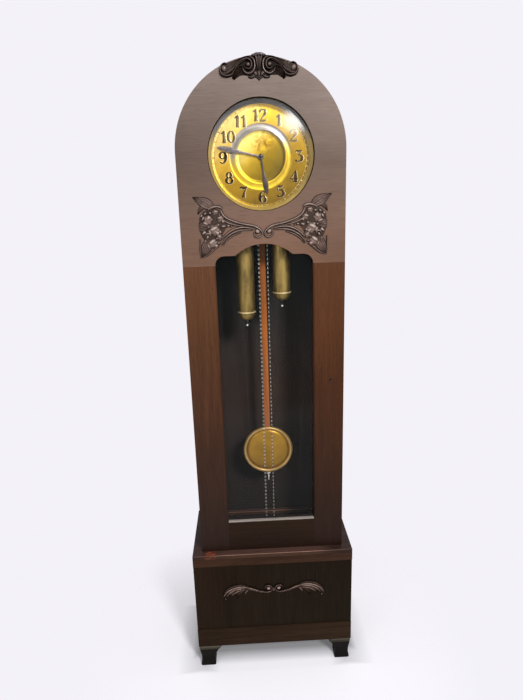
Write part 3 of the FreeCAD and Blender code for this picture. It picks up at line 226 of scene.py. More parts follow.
# ---- woods ----
# cells per metre along the grain and across it, of growth rings, fibres, pores and gloss
GROWTH, FIBRES, PORES, GLOSS = (1.6, 26.0), (7.0, 240.0), (28.0, 900.0), (5.0, 40.0)
# cells per metre of the clouds in the stain, and of the chips in a worn patch
CLOUDS, CHIPS = 3.2, (60.0, 240.0, 240.0)
# cells per metre of a carving's rubbed places, dust and grain
RUBBED, DUST, CARVED_GRAIN = 190.0, 60.0, (160.0, 160.0, 500.0)


def oak(name, heights, grain, contrast, rough, specular, pores=0.35, across=None, patch=None,
        cloudy=0.12, behind=None):
    """Stained oak: a colour times growth rings, fibres, pores and clouds. heights gives the colour
    at heights in metres: the stain's own colour and, on the door, case and interior, painted
    light and shade; grain is the way the fibres run, and across gives a tint at places from left
    to right, which on the arch and in the interior is painted light and shade. patch is a spot
    where the stain is worn through: its middle, radius and colour. behind is a depth beyond which
    the stain has a colour of its own."""
    made, tree, place = new_material(name)
    aside, depth, height = axes(tree, place)

    def along(fibre, width):
        """Cells per metre: fibre along the grain and width across it."""
        return tuple(fibre if letter == grain else width for letter in "xyz")

    colour = tinted(tree, height, heights)
    if behind:
        start, inner = behind
        colour = mixed(tree, colour, inner, level(tree, depth, start, start + MM), "MIX")
    rings = ramp(tree, noise(tree, place, along(*GROWTH), 5.0, 0.6, 0.6),
                 [(0.30, 1.0 - contrast), (0.48, 1.0), (0.56, 1.0 - 0.5 * contrast),
                  (0.72, 1.0 + contrast)])
    streaks = shaded(tree, noise(tree, place, along(*FIBRES), 4.0, 0.65),
                     1.0 - 0.8 * contrast, 1.0 + 0.6 * contrast)
    pits = ramp(tree, noise(tree, place, along(*PORES), 2.0, 0.5),
                [(0.34, 1.0 - pores), (0.46, 1.0)])
    clouds = shaded(tree, noise(tree, place, CLOUDS, 3.0, 0.5), 1.0 - cloudy, 1.0 + cloudy)
    for layer in (rings, streaks, pits, clouds):
        colour = mixed(tree, colour, layer)
    if across:
        colour = mixed(tree, colour, tinted(tree, aside, across))
    if patch:
        spot, radius, bare = patch
        near = level(tree, vectors(tree, "DISTANCE", place, spot), 0.5 * radius, radius, 1.0, 0.0)
        chips = level(tree, noise(tree, place, CHIPS, 3.0, 0.6), 0.44, 0.56)
        colour = mixed(tree, colour, bare, maths(tree, "MULTIPLY", near, chips), "MIX")
    gloss = varied(tree, noise(tree, place, along(*GLOSS)), *rough)
    return dress(made, colour, gloss, mixed(tree, pits, streaks, 0.4, "MIX"), 0.35, 0.0004,
                 Specular_IOR_Level=specular)


def carved_wood(name, back, front, recess, body, crest, specular, rough, smoked=None):
    """Carved oak: the recesses and the steep flanks are painted dark as the shade that falls there,
    and the high places are painted pale, as rubbed wear and as their highlights, and shine. back
    and front are the depths of the board and of its highest places, and a height may be given
    from which the wood is painted darker as shade, with the tint it comes to."""
    made, tree, place = new_material(name)
    _, depth, up = axes(tree, place)
    height = level(tree, depth, back * MM, front * MM)
    rubbed = noise(tree, place, RUBBED, 3.0, 0.6)
    # painted shade and highlight: dark in the recesses and pale on the crests, by height
    colour = ramp(tree, maths(tree, "ADD", height, varied(tree, rubbed, -0.10, 0.10)),
                  [(0.14, recess), (0.62, body), (0.92, crest)])
    normal = node(tree, "ShaderNodeTexCoord").outputs["Normal"]
    facing = maths(tree, "MULTIPLY", axes(tree, normal)[1], -1.0)
    # painted shade: faces turned away from the front darker, faces to the front lighter
    colour = mixed(tree, colour, ramp(tree, facing, [(0.20, 0.26), (0.50, 0.62), (0.85, 1.0),
                                                     (1.0, 1.2)]))
    dust_and_sheen = noise(tree, place, DUST, 4.0, 0.6)
    colour = mixed(tree, colour, shaded(tree, dust_and_sheen, 0.72, 1.28))
    # painted shade: above the given height the wood is darker
    if smoked:
        start, tint = smoked
        colour = mixed(tree, colour, tinted(tree, up, [(start, 1.0), (start + 6 * MM, tint)]))
    shine = maths(tree, "MULTIPLY", level(tree, height, 0.10, 0.75, 0.04, specular),
                  level(tree, facing, 0.3, 0.8, 0.04, 1.0))
    grain = noise(tree, place, CARVED_GRAIN, 3.0, 0.6)
    return dress(made, colour, varied(tree, rubbed, rough - 0.08, rough + 0.14), grain, 0.3,
                 0.0005, Specular_IOR_Level=shine)


# ---- metals and glass ----
def metal(name, bright, aged, spread, cells, rough, bump=0.1, brush=300.0, metallic=1.0,
          heights=None, sides=None, pitch=None):
    """Metal with patches of tarnish: aged below the lower share of spread and bright above the
    upper. cells gives the patches per metre and brush those of the fine lines left by turning or
    rubbing; heights gives a tint at heights in metres, which on the collar and the figures is
    painted reflection and glare; sides gives the painted shade of faces that look aside, aslant
    and forwards, and pitch that of links painted with a glint and a shade by turns."""
    made, tree, place = new_material(name)
    tarnish = noise(tree, place, cells, 5.0, 0.62, 0.4)
    colour = ramp(tree, tarnish, list(zip(spread, (aged, bright))))
    specks = noise(tree, place, 420.0, 2.0, 0.5)
    colour = mixed(tree, colour, ramp(tree, specks, [(0.32, 0.78), (0.44, 1.0)]))
    if heights:
        colour = mixed(tree, colour, tinted(tree, axes(tree, place)[2], heights))
    # painted shade: faces that look aside darker than those that look forwards
    if sides:
        normal = node(tree, "ShaderNodeTexCoord").outputs["Normal"]
        forwards = maths(tree, "ABSOLUTE", axes(tree, normal)[1])
        colour = mixed(tree, colour, ramp(tree, forwards, list(zip((0.1, 0.6, 1.0), sides))))
    # painted glint and shade on the links by turns
    if pitch:
        turns = maths(tree, "MULTIPLY", axes(tree, place)[2], math.pi / pitch)
        wave = level(tree, maths(tree, "SINE", turns), -1.0, 1.0)
        colour = mixed(tree, colour, ramp(tree, wave, [(0.45, 0.06), (0.75, 1.0)]))
    fine = noise(tree, place, brush, 3.0, 0.6)
    return dress(made, colour, varied(tree, fine, *rough), fine, bump, 0.0003, Metallic=metallic)


def dial_metal(name):
    """Lacquered dial brass with painted light: pale at the upper left and olive at the lower right,
    in the sunk disc as on the chapter ring, as painted light and shade, with a brown stain above
    the arbor. The raised ring between them is painted bright below and grey above, as its
    reflections. Each colour is a ramp along a slant through the arbor, and the distance from the
    arbor chooses between them."""
    made, tree, place = new_material(name)

    def moved(vector, **shift):
        """A vector scaled and then shifted."""
        return node(tree, "ShaderNodeMapping", {"Vector": vector, **shift}).outputs[0]

    centred = moved(place, Scale=(1.0, 0.0, 1.0), Location=(0.0, 0.0, -dial_z * MM))
    radius = vectors(tree, "LENGTH", centred)
    light_slant = vectors(tree, "DOT_PRODUCT", centred, (-0.72, 0.0, 0.69))
    lift = vectors(tree, "DOT_PRODUCT", centred, (-0.28, 0.0, 0.96))
    # painted light and shade: the chapter ring and the disc pale at the upper left, olive at the
    # lower right
    outer = ramp(tree, level(tree, light_slant, -0.13, 0.13),
                 [(0.0, (0.215, 0.125, 0.010)), (0.30, (0.30, 0.175, 0.010)),
                  (0.52, (0.45, 0.26, 0.012)), (0.74, (0.77, 0.46, 0.040)),
                  (1.0, (0.94, 0.70, 0.24))])
    disc = ramp(tree, level(tree, light_slant, -0.062, 0.062),
                [(0.0, (0.20, 0.13, 0.010)), (0.36, (0.31, 0.195, 0.008)),
                 (0.60, (0.58, 0.37, 0.025)), (1.0, (1.0, 0.80, 0.22))])
    # painted reflection: the raised ring bright below and grey above
    ring = ramp(tree, level(tree, lift, -0.08, 0.08),
                [(0.0, (0.98, 0.66, 0.04)), (0.38, (0.85, 0.52, 0.03)), (0.55, (0.56, 0.40, 0.09)),
                 (0.68, (0.35, 0.31, 0.22)), (1.0, (0.36, 0.33, 0.29))])
    outside_disc = level(tree, radius, (DISC - 0.1) * MM, (DISC + 0.9) * MM)
    middle = mixed(tree, disc, ring, outside_disc, "MIX")
    # painted shade: the middle darker and bluer to the right
    shade = tinted(tree, axes(tree, centred)[0], [(0.0, 1.0), (0.08, (0.66, 0.68, 1.1))])
    beyond = level(tree, radius, (RING - 2.5) * MM, (RING + 3.0) * MM)
    colour = mixed(tree, mixed(tree, middle, shade), outer, beyond, "MIX")
    near = vectors(tree, "LENGTH", moved(centred, Location=(-0.010, 0.0, -0.036)))
    stain = ramp(tree, noise(tree, place, 75.0, 4.0, 0.65, 0.8),
                 [(0.42, (0.50, 0.34, 0.24)), (0.56, 1.0), (0.70, (1.25, 1.3, 1.6))])
    colour = mixed(tree, colour, stain, level(tree, near, 0.014, 0.040, 0.9, 0.0))
    haze = noise(tree, place, 22.0, 4.0, 0.6)
    colour = mixed(tree, colour, shaded(tree, haze, 0.84, 1.14))
    fine = noise(tree, place, 60.0, 3.0, 0.6)
    return dress(made, colour, varied(tree, fine, 0.30, 0.42), fine, 0.05, 0.0003, Metallic=1.0)


def clear_glass(name, alpha, specular, rough=0.03, sheen_below=None):
    """Thin old glass: mostly see-through, faintly green, and not quite flat. A height in metres may
    be given below which the glass takes a colour of its own, a painted grey-blue reflection, with
    that colour."""
    made, tree, place = new_material(name)
    film = noise(tree, place, 9.0, 4.0, 0.6)
    colour = shaded(tree, film, (0.045, 0.055, 0.055), (0.070, 0.080, 0.080))
    # painted reflection: below the line the glass takes a grey-blue colour
    if sheen_below:
        line, dust_and_sheen = sheen_below
        below = level(tree, axes(tree, place)[2], line - 0.02, line + 0.02, 1.0, 0.0)
        colour = mixed(tree, colour, dust_and_sheen, below, "MIX")
    ripple = noise(tree, place, (5.0, 5.0, 7.0), 1.0, 0.4)
    return dress(made, colour, varied(tree, film, rough, rough + 0.05), ripple, 0.05, 0.002,
                 Specular_IOR_Level=specular, IOR=1.5, Alpha=alpha)


# ---- surfaces ----
def circle(steps):
    """Angles once round in equal steps."""
    return np.linspace(0.0, 2 * math.pi, steps, endpoint=False)


def shell(points, rows_close=False):
    """A grid of points as (vertices, quads). Quad (i, j) joins (i, j), (i + 1, j),
    (i + 1, j + 1) and (i, j + 1). The last column joins the first, and where rows close the last
    row does too."""
    rows, columns = points.shape[:2]
    index = np.arange(rows * columns).reshape(rows, columns)
    if rows_close:
        index = np.vstack([index, index[:1]])
    index = np.hstack([index, index[:, :1]])
    quads = np.stack([index[:-1, :-1], index[1:, :-1], index[1:, 1:], index[:-1, 1:]], axis=-1)
    return points.reshape(-1, 3), quads.reshape(-1, 4)


def mirrored(shells):
    """The shells and their twins at -x."""
    return list(shells) + [(points * [-1.0, 1.0, 1.0], quads) for points, quads in shells]


def spline(points, count):
    """count places on the smooth curve through the given rows. Between rows b and c, with a and d
    outside them, it is (2b + (c - a) f + (2a - 5b + 4c - d) f^2 + (3b - a - 3c + d) f^3) / 2."""
    rows = np.asarray(points, float)
    last = len(rows) - 1
    place = np.linspace(0.0, last, count)
    i = np.minimum(place.astype(int), last - 1)
    f = (place - i)[:, None]
    a, b, c, d = (rows[np.clip(i + k, 0, last)] for k in (-1, 0, 1, 2))
    return 0.5 * (2 * b + (c - a) * f + (2 * a - 5 * b + 4 * c - d) * f ** 2
                  + (3 * b - a - 3 * c + d) * f ** 3)


def half_round(ridges=1, groove=0.0, columns=15, flat=0.0):
    """Section of a carved run as (across, forward): u = cos t across and sin t forward, less
    groove (1 + cos(pi ridges (u + 1))) / 2 of it. One more point closes the flat back."""
    t = np.linspace(0.0, math.pi, columns)
    u = np.cos(t)
    forward = np.maximum(np.sin(t), 0.0) ** (1.0 - flat)
    forward = forward * (1.0 - groove * 0.5 * (1.0 + np.cos(math.pi * ridges * (u + 1.0))))
    return np.vstack([np.column_stack([u, forward]), [[0.0, 0.0]]])


# Section of a flat strip with chamfered edges, as (across, forward).
CHAMFERED = np.array([[1.0, 0.0], [1.0, 0.62], [0.72, 1.0], [-0.72, 1.0], [-1.0, 0.62],
                      [-1.0, 0.0]])
# least width and height of a carved run, which keep its ends from folding
LEAST = 0.05


def carved_run(path, back, section, count=36, closed=False):
    """A section carried along a curve on the board at depth back. Rows of path are (x, z, width,
    height). P(s, k) = path(s) + width(s) / 2 across(k) n(s) - height(s) forward(k) y, where n is
    square to the path."""
    rows = np.asarray(path, float) if closed else spline(path, count)
    x, z, width, height = rows.T
    width, height = np.maximum(width, LEAST), np.maximum(height, LEAST)
    if closed:
        dx = np.roll(x, -1) - np.roll(x, 1)
        dz = np.roll(z, -1) - np.roll(z, 1)
    else:
        dx, dz = np.gradient(x), np.gradient(z)
    length = np.maximum(np.hypot(dx, dz), 1e-9)
    nx, nz = -dz / length, dx / length
    across = section[:, 0][None, :] * (width / 2)[:, None]
    points = np.stack([x[:, None] + across * nx[:, None],
                       back - section[:, 1][None, :] * height[:, None],
                       z[:, None] + across * nz[:, None]], axis=-1)
    if closed:
        return shell(points, rows_close=True)
    ends = [np.broadcast_to([x[k], back, z[k]], (1, len(section), 3)) for k in (0, -1)]
    return shell(np.concatenate([ends[0], points, ends[1]]))


def boss(x, z, radius, height, back, petals, cut, stretch, turn, rings, steps):
    """A round boss on the board at depth back: P(f, t) = centre + r(t) sin f across, height cos f
    forward, f from 0 to a right angle and r(t) = radius (1 - cut (1 - cos(petals t)) / 2). It is
    stretched and then turned by turn degrees."""
    f = np.linspace(0.0, math.pi / 2, rings)[:, None]
    t = circle(steps)[None, :]
    r = radius * (1.0 - cut * 0.5 * (1.0 - np.cos(petals * t)))
    u, v = r * stretch * np.sin(f) * np.cos(t), r * np.sin(f) * np.sin(t)
    lean = math.radians(turn)
    points = np.stack([x + u * math.cos(lean) - v * math.sin(lean),
                       back - height * np.cos(f) + 0.0 * t,
                       z + u * math.sin(lean) + v * math.cos(lean)], axis=-1)
    centre = np.broadcast_to([x, back, z], (1, steps, 3))
    return shell(np.concatenate([points, centre]))


def turned(profile, x, y, z, axis, steps, closed=False):
    """A turned form: each (radius, height) of the profile goes round the y or z axis, P(i, t) =
    centre + radius cos t, radius sin t across and height along."""
    r, h = np.asarray(profile, float).T
    t = circle(steps)
    a, b = r[:, None] * np.cos(t), r[:, None] * np.sin(t)
    along = np.broadcast_to(h[:, None], a.shape)
    order = (a, b, along) if axis == "z" else (a, along, b)
    return shell(np.stack(order, axis=-1) + [x, y, z], rows_close=closed)


def oval(radius, along, half_width, half_height, steps):
    """Section of a hoop to turn: (radius + half_width cos t, along + half_height sin t)."""
    t = circle(steps)
    return np.column_stack([radius + half_width * np.cos(t), along + half_height * np.sin(t)])


def rounded_square(steps, power):
    """A square from -1 to 1 with rounded corners, as across and along: cos t and sin t, each
    raised to 2 / power with its sign kept."""
    t = circle(steps)
    return [np.sign(wave) * np.abs(wave) ** (2.0 / power) for wave in (np.cos(t), np.sin(t))]


def plaque(x, z, outline, thickness, back, slope):
    """A thin flat plate on a board. outline rows are (x, z) about the middle; two rings, the front
    one drawn in to slope of the outline, and the middle points close front and back."""
    edge = np.asarray(outline, float)
    front = np.column_stack([x + slope * edge[:, 0], np.full(len(edge), back - thickness),
                             z + slope * edge[:, 1]])
    low = np.column_stack([x + edge[:, 0], np.full(len(edge), back), z + edge[:, 1]])
    middle = [np.broadcast_to([x, y, z], (len(edge), 3)) for y in (back - thickness, back)]
    return shell(np.stack([middle[0], front, low, middle[1]]))


# ---- pieces ----
# metres within which the vertices of a made mesh, and of a CAD node's mesh, count as one
MERGE_MADE, MERGE_CAD = 2e-6, 1e-5


def build(name, shells, finish, body=None, replaces=(), sharp=38.0):
    """One mesh of closed shells, its doubles merged and its faces turned outwards. Edges that turn
    by more than sharp degrees stay crisp."""
    starts = np.cumsum([0] + [len(points) for points, _ in shells[:-1]])
    points = np.concatenate([points for points, _ in shells]) * MM
    quads = np.concatenate([quads + start for (_, quads), start in zip(shells, starts)])
    mesh = bpy.data.meshes.new(name)
    mesh.from_pydata(points.tolist(), [], quads.tolist())
    cleaned = bmesh.new()
    cleaned.from_mesh(mesh)
    bmesh.ops.remove_doubles(cleaned, verts=cleaned.verts, dist=MERGE_MADE)
    bmesh.ops.dissolve_degenerate(cleaned, edges=cleaned.edges, dist=1e-7)
    bmesh.ops.recalc_face_normals(cleaned, faces=cleaned.faces)
    cleaned.to_mesh(mesh)
    cleaned.free()
    finish_mesh(mesh, [finish], sharp)
    made = bpy.data.objects.new(name, mesh)
    bpy.context.scene.collection.objects.link(made)
    return settle(made, body, replaces)


def finish_mesh(mesh, finishes, sharp):
    """Give a mesh its finishes and smooth shading, but for edges sharper than sharp degrees."""
    mesh.materials.clear()
    for finish in finishes:
        mesh.materials.append(finish)
    mesh.polygons.foreach_set("use_smooth", [True] * len(mesh.polygons))
    mesh.set_sharp_from_angle(angle=math.radians(sharp))
    mesh.update()


def settle(made, body, replaces):
    """Tell the frame which body a piece rides, which CAD nodes it replaces."""
    if body:
        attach(made, body)
    if replaces:
        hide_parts(*replaces)
    return made


# degrees past which a board's edge is rounded
BOARD_SHARP = 30.0


def board(node_name, finish, body, width=0.8, worn=None, chamfer=None, sill=None):
    """A board cut from its CAD node: doubles merged, flat faces joined and edges rounded by width.
    worn is the finish of the rounded edges, and chamfer that of the faces that look both forwards
    and aside, which are the chamfers round the window, and of upward faces above the height
    sill."""
    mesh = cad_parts[node_name].data.copy()
    mesh.name = node_name + "_dressed"
    cleaned = bmesh.new()
    cleaned.from_mesh(mesh)
    bmesh.ops.remove_doubles(cleaned, verts=cleaned.verts, dist=MERGE_CAD)
    bmesh.ops.dissolve_limit(cleaned, angle_limit=math.radians(1.0), verts=cleaned.verts,
                             edges=cleaned.edges)
    cleaned.normal_update()
    finishes = [finish, worn or finish, chamfer or finish]
    for face in cleaned.faces:
        normal, height = face.normal, face.calc_center_median().z
        slanting = 0.5 < abs(normal.y) < 0.85 and normal.y < 0
        upward = sill is not None and normal.z > 0.9 and height > sill * MM
        face.material_index = 2 if chamfer and (slanting or upward) else 0
    cleaned.to_mesh(mesh)
    cleaned.free()
    finish_mesh(mesh, finishes, BOARD_SHARP)
    made = bpy.data.objects.new(node_name + "_dressed", mesh)
    bpy.context.scene.collection.objects.link(made)
    rounded = made.modifiers.new("rounded", "BEVEL")
    rounded.width = width * MM
    rounded.segments = 2
    rounded.limit_method = "ANGLE"
    rounded.angle_limit = math.radians(BOARD_SHARP)
    rounded.harden_normals = True
    rounded.material = 1 if worn else -1
    return settle(made, body, [node_name])


# ---- carvings ----
def shifted(path, z):
    """The rows of a path, their second number raised by z."""
    return np.asarray(path, float) + [0.0, z, 0.0, 0.0]


BED_HEIGHT = 0.7


def carver(back):
    """Makers of the carved forms on the board at depth back. Each form lies on a flat bed that is
    wider than itself by bed on each side and shows as a dark line round it, a painted shadow at
    the form's foot."""
    def run(path, section=None, count=34, bed=0.9):
        """A carved run through the rows (x, z, width, height), and its bed."""
        under = np.asarray(path, float) + [0.0, 0.0, 2.0 * bed, 0.0]
        under[:, 3] = BED_HEIGHT
        section = half_round() if section is None else section
        return [carved_run(path, back, section, count),
                carved_run(under, back, CHAMFERED, count)]

    def bead(x, z, radius, height, stretch=1.0, turn=0.0, petals=0, cut=0.0, bed=0.9):
        """A boss, plain or with petals, and its bed."""
        steps = 30 if petals else 18
        return [boss(x, z, radius, height, back, petals, cut, stretch, turn, 6, steps),
                boss(x, z, radius + bed, BED_HEIGHT, back, petals, 0.6 * cut, stretch, turn, 3,
                     steps)]

    return run, bead


def crest_carving(finish):
    """A fan of flutes that widens into a knob, between two volutes; from each volute a ribbon
    rises and runs out to a scroll, with a fluted tail behind it and a pointed pendant below.
    Each run is its rows (x, z above the case's top, width, height), its section and its steps."""
    back, top = door_front, case_top
    run, bead = carver(back)
    half = [
        # ribbon from the knob to the outer scroll
        ([(13, -4, 5, 6), (22, -5.5, 8, 7.5), (32, -7.5, 10, 8), (43, -11.5, 12, 8),
          (55, -17.5, 15, 7.5), (67, -24, 20, 7), (79, -30, 25, 7), (89, -33, 27, 7),
          (97, -33.5, 18, 6)], half_round(3, 0.4, 21, 0.4), 50),
        # ridge on its lower edge, from the outer scroll over and round the inner volute
        ([(66, -33, 2.4, 8), (58, -23.5, 3.2, 10), (47, -15.5, 3.6, 11), (37, -10.5, 4, 12),
          (28, -10, 5.4, 12.4), (21, -14.5, 5.6, 12.4), (18.5, -23, 5.6, 12.4),
          (21, -30.5, 5.2, 12.2), (27, -33.5, 4.6, 11.6), (33, -30, 3.6, 10.4)],
         None, 80),
        # outer band of the inner volute
        ([(28, -5.5, 3, 6), (19, -6.5, 5.5, 9), (12.5, -13, 6.6, 10), (10.5, -24, 7, 10),
          (12.5, -34, 7.2, 10), (19.5, -41.5, 7.2, 10), (29.5, -43.5, 6.8, 9.6),
          (38, -38.5, 5.6, 9), (42, -30, 4, 7)], None, 60),
        # outer scroll
        ([(66, -36, 3, 8), (68.5, -44, 4.4, 9.6), (79, -48, 5.2, 10.6), (90, -47, 5.4, 11),
          (97.5, -41, 5.4, 11), (99, -31, 5, 11), (95, -22, 4.6, 10.8), (87, -18.5, 4, 10.4),
          (80.5, -22, 3.4, 10)], None, 60),
        # ridge on the ribbon's upper edge
        ([(20, -2.5, 2.2, 8), (34, -4.5, 2.8, 9), (48, -8.5, 2.8, 9), (62, -13.5, 2.8, 9),
          (76, -18.5, 2.6, 9)], None, 34),
        # fluted tail and its turned-over edge
        ([(38, -29, 7, 5), (46, -33.5, 14, 6.5), (55, -40, 17, 6.5), (62, -48, 12, 5.5),
          (65.5, -56, 3, 3)], half_round(4, 0.55, 25, 0.3), 34),
        ([(44, -25, 2, 6), (54, -27, 2.8, 8), (62, -34, 3, 8), (67.5, -44, 2.6, 7),
          (67.5, -54, 1.6, 5)], None, 30),
        # lobes between the pendant and the volute
        ([(10, -47, 3, 5), (15, -50.5, 6, 6.4), (22, -51.5, 6, 6), (28, -49.5, 3, 4.5)],
         None, 20),
    ]
    forms = []
    for path, section, count in half:
        forms += run(shifted(path, top), section, count, 0.8)
    for x, z, radius, height, stretch, turn in (
            (27.5, -23, 6.4, 12.8, 1.1, 20), (89.5, -31, 8.8, 12.6, 1.15, 60),
            (9, -43, 5.6, 7.6, 1.4, 50), (14.8, -1.5, 3.8, 10, 1.0, 0)):
        forms += bead(x, top + z, radius, height, stretch, turn)
    # sunk ground between the volute and the ribbon, dark as painted shade in the gap
    forms.append(plaque(30, top - 23, [(-30, 20), (-12, 19), (14, 14), (34, 5), (56, -8), (44, -22),
                                       (22, -24), (4, -24), (-30, -18)], 1.2, back, 0.97))
    forms = mirrored(forms)
    # fan: three broad flutes that spread upwards
    forms += run(shifted([(0, -37, 5, 6), (0, -27, 11, 8.6), (0, -15, 17, 10.4), (0, -4, 24, 11.6),
                          (0, 0.4, 22, 10.6)], top), half_round(3, 0.34, 27, 0.3), 34, 0.4)
    # knob: a broad cushion over the flutes
    forms += run(shifted([(-14.6, -3.0, 6, 9), (-9, -0.6, 9.4, 12), (0, 0.4, 9.0, 12.8),
                          (9, -0.6, 9.4, 12), (14.6, -3.0, 6, 9)], top),
                 half_round(1, 0.0, 15, 0.35), 30, 0.4)
    forms += run(shifted([(0, -35, 3, 5), (0, -41, 8, 7.4), (0, -48, 7, 6.5), (0, -54, 2, 4)],
                         top), None, 20)
    # pendant
    forms.append(plaque(0, top - 47, [(24, 1), (18, -4.5), (13, -3.5), (10, -6), (6, -8),
                                      (0, -13.5), (-6, -8), (-10, -6), (-13, -3.5), (-18, -4.5),
                                      (-24, 1), (-20, 7), (0, 12), (20, 7)], 2.4, back, 0.86))
    return build("crest", forms, finish, "door", ["crest_carving"])


def spandrel_carving(finish):
    """A cluster of buds, flowers and beads in each corner, with a pointed leaf up, a fan leaf
    outwards and a triangular leaf down, on pairs of ridged stems that run in and end as two
    scrolls side by side. Each run is its rows (x, z above the door's seam, width, height), its
    section and its steps."""
    back, foot = door_front, seam_z
    run, bead = carver(back)
    ribbed = half_round(5, 0.5, 27, 0.3)
    runs = [
        # pointed leaf upwards with its middle rib, and its lower lobe
        ([(134, 157, 9, 4.5), (145, 164, 24, 5.6), (157, 171, 29, 5.8), (170, 177.5, 22, 5.4),
          (182, 184, 10, 5), (190.5, 188, 1.5, 3)], half_round(4, 0.4, 25, 0.45), 40),
        ([(143, 160, 2.4, 6), (158, 170, 3.4, 6.9), (174, 179.5, 2.6, 6.4), (187, 186.5, 1.2, 4)],
         None, 26),
        ([(160, 163, 8, 4.4), (169, 158, 11, 4.8), (175, 150, 7, 4.2), (178.5, 142.5, 1.5, 2.6)],
         half_round(3, 0.4, 19, 0.4), 22),
        # cup below the leaf
        ([(150, 152, 3.5, 4.4), (143, 158.5, 6.5, 6.2), (131, 161.6, 7.5, 6.6),
          (119, 160.5, 7, 6.6), (111.5, 156, 5, 5)], None, 34),
        # fan leaf outwards
        ([(146, 107, 7, 5), (157, 109, 16, 6), (169, 108.5, 24, 5.6), (177.5, 107.5, 20, 3)],
         ribbed, 24),
        # hook
        ([(162, 84.5, 3, 6), (157, 90, 5, 8), (150, 89.5, 5, 8), (146.5, 83.5, 3, 6)], None, 20),
        # triangular leaf downwards: veined middle and raised borders
        ([(149, 74, 16, 4.5), (156, 61, 28, 5.2), (164, 46, 26, 5), (173, 29, 5, 3)],
         half_round(5, 0.45, 31, 0.35), 34),
        ([(177, 76, 2.4, 6), (177.6, 50, 3, 6.6), (176, 25, 2.4, 5)], None, 20),
        ([(124, 58, 2.6, 6), (141, 44, 3.2, 6.8), (158, 31, 3, 6.6), (174, 25.5, 2.4, 5)], None,
         30),
        # upper stem: two ridges side by side
        ([(116, 152, 6, 5), (109, 138, 6, 6.2), (97, 128.5, 6, 6.6), (81, 121.5, 6, 6.6),
          (63, 115.5, 6, 6.6), (46, 111.8, 6, 6.6), (30, 108.5, 6, 6.8), (17, 103, 6, 7),
          (7.5, 95.5, 5.4, 7), (3.4, 87, 4, 7), (6.5, 79.5, 4.2, 7), (15, 76.5, 4.4, 7),
          (24, 81, 4.2, 6.8), (26, 91, 3.4, 6.4)], None, 110),
        ([(121, 141, 4, 5), (112, 127, 5, 6), (100, 119, 5.2, 6.2), (85, 113.5, 5, 6.2),
          (68, 109.5, 4.4, 6), (54, 107.6, 2.4, 5)], None, 44),
        # lower stem: three ridges
        ([(27, 99.5, 3.4, 6), (45, 103.6, 5, 6.4), (62, 104.2, 5.4, 6.6), (78, 101, 5.4, 6.6),
          (92, 94.5, 5.4, 6.4), (105, 85, 5, 6), (116, 74.5, 3.4, 5)], None, 60),
        ([(29, 96.5, 3, 5.4), (48, 97.4, 4.6, 6), (67, 96, 5.2, 6.2), (84, 90.5, 5.4, 6.2),
          (99, 81.5, 5.2, 6), (110, 70.5, 4.2, 5.4), (117.5, 58, 2.8, 4.4)], None, 60),
        ([(62, 90.5, 2, 4.4), (78, 86, 3.8, 5.2), (92, 79, 4.2, 5.4), (104, 69.5, 3.8, 5),
          (113, 57, 2, 4)], None, 34),
    ]
    forms = []
    for path, section, count in runs:
        forms += run(shifted(path, foot), section, count)
    # sunk ground between the forms of the cluster, dark as painted shade between them
    forms.append(plaque(140, foot + 110, [(-29, 42), (2, 48), (24, 40), (36, 22), (38, -10),
                                          (30, -30), (14, -54), (-8, -50), (-22, -30), (-36, -8),
                                          (-46, 2), (-36, 22)], 0.9, back, 0.97))
    # flowers: (x, z, radius, height, turn) with five petals, each round a bud
    for x, z, radius, height, turn in ((152, 127, 16, 5.2, 30), (118, 129, 12, 5.0, 10),
                                       (135, 99.5, 19, 5.4, 50), (141, 63, 16, 5.2, 20),
                                       (131, 147, 10.5, 5.0, 0), (122, 80, 11, 5.0, 40)):
        forms += bead(x, foot + z, radius, height, 1.0, turn, 5, 0.26, 0.6)
    # petals turned up, each in two or three lobes: (x, z, radius, height, stretch, turn, lobes)
    for x, z, radius, height, stretch, turn, lobes in (
            (137, 103, 9.4, 9.0, 1.5, -24, 2), (128, 92, 7.4, 7.8, 1.5, 40, 3),
            (148, 94, 6.4, 7.2, 1.4, 70, 2), (143, 68, 8.8, 9.0, 1.5, -34, 2),
            (133, 57, 6.6, 7.6, 1.4, 20, 3), (153, 56, 5.6, 6.8, 1.4, 80, 2),
            (150, 132, 7.8, 9.0, 1.4, -52, 3), (159, 118, 6.4, 7.6, 1.5, 20, 2),
            (119, 132, 6.4, 8.6, 1.4, -20, 2), (111, 122, 5.0, 7.4, 1.4, 60, 3),
            (129.5, 149, 5.8, 8.6, 1.45, 16, 2), (165, 131, 5.0, 8.0, 1.5, -64, 2),
            (109.5, 109, 5.4, 8.4, 1.4, -8, 2), (164, 93, 6.0, 8.4, 1.5, -40, 3),
            (122, 82, 5.8, 8.2, 1.4, 40, 2), (155, 81, 5.2, 7.6, 1.5, -60, 3)):
        forms += bead(x, foot + z, radius, height, stretch, turn, lobes, 0.28, 0.8)
    # buds and beads: (x, z, radius, height, stretch, turn)
    for x, z, radius, height, stretch, turn in (
            (145, 145, 4.0, 7.8, 1.3, 20), (158.5, 144, 3.8, 7.6, 1.4, -35),
            (169, 138, 3.6, 7.4, 1.5, -60), (96, 110, 3.8, 7.8, 1.3, -15),
            (88, 108.5, 2.8, 7.0, 1.1, 0), (124, 113, 4.2, 7.4, 1.2, 40),
            (151, 108, 3.4, 7.0, 1.2, 60), (171, 108, 3.2, 6.6, 1.3, -70),
            (130, 76, 3.4, 7.0, 1.2, 20), (119.5, 94, 4.2, 7.6, 1.3, 50),
            (125, 64, 3.6, 6.8, 1.3, 40), (162, 70, 3.6, 6.6, 1.4, -50),
            (16.5, 92.5, 6.6, 8.0, 1.25, 35)):
        forms += bead(x, foot + z, radius, height, stretch, turn, 0, 0.0, 0.6)
    return build("spandrels", mirrored(forms), finish, "door", ["spandrel_carving"])


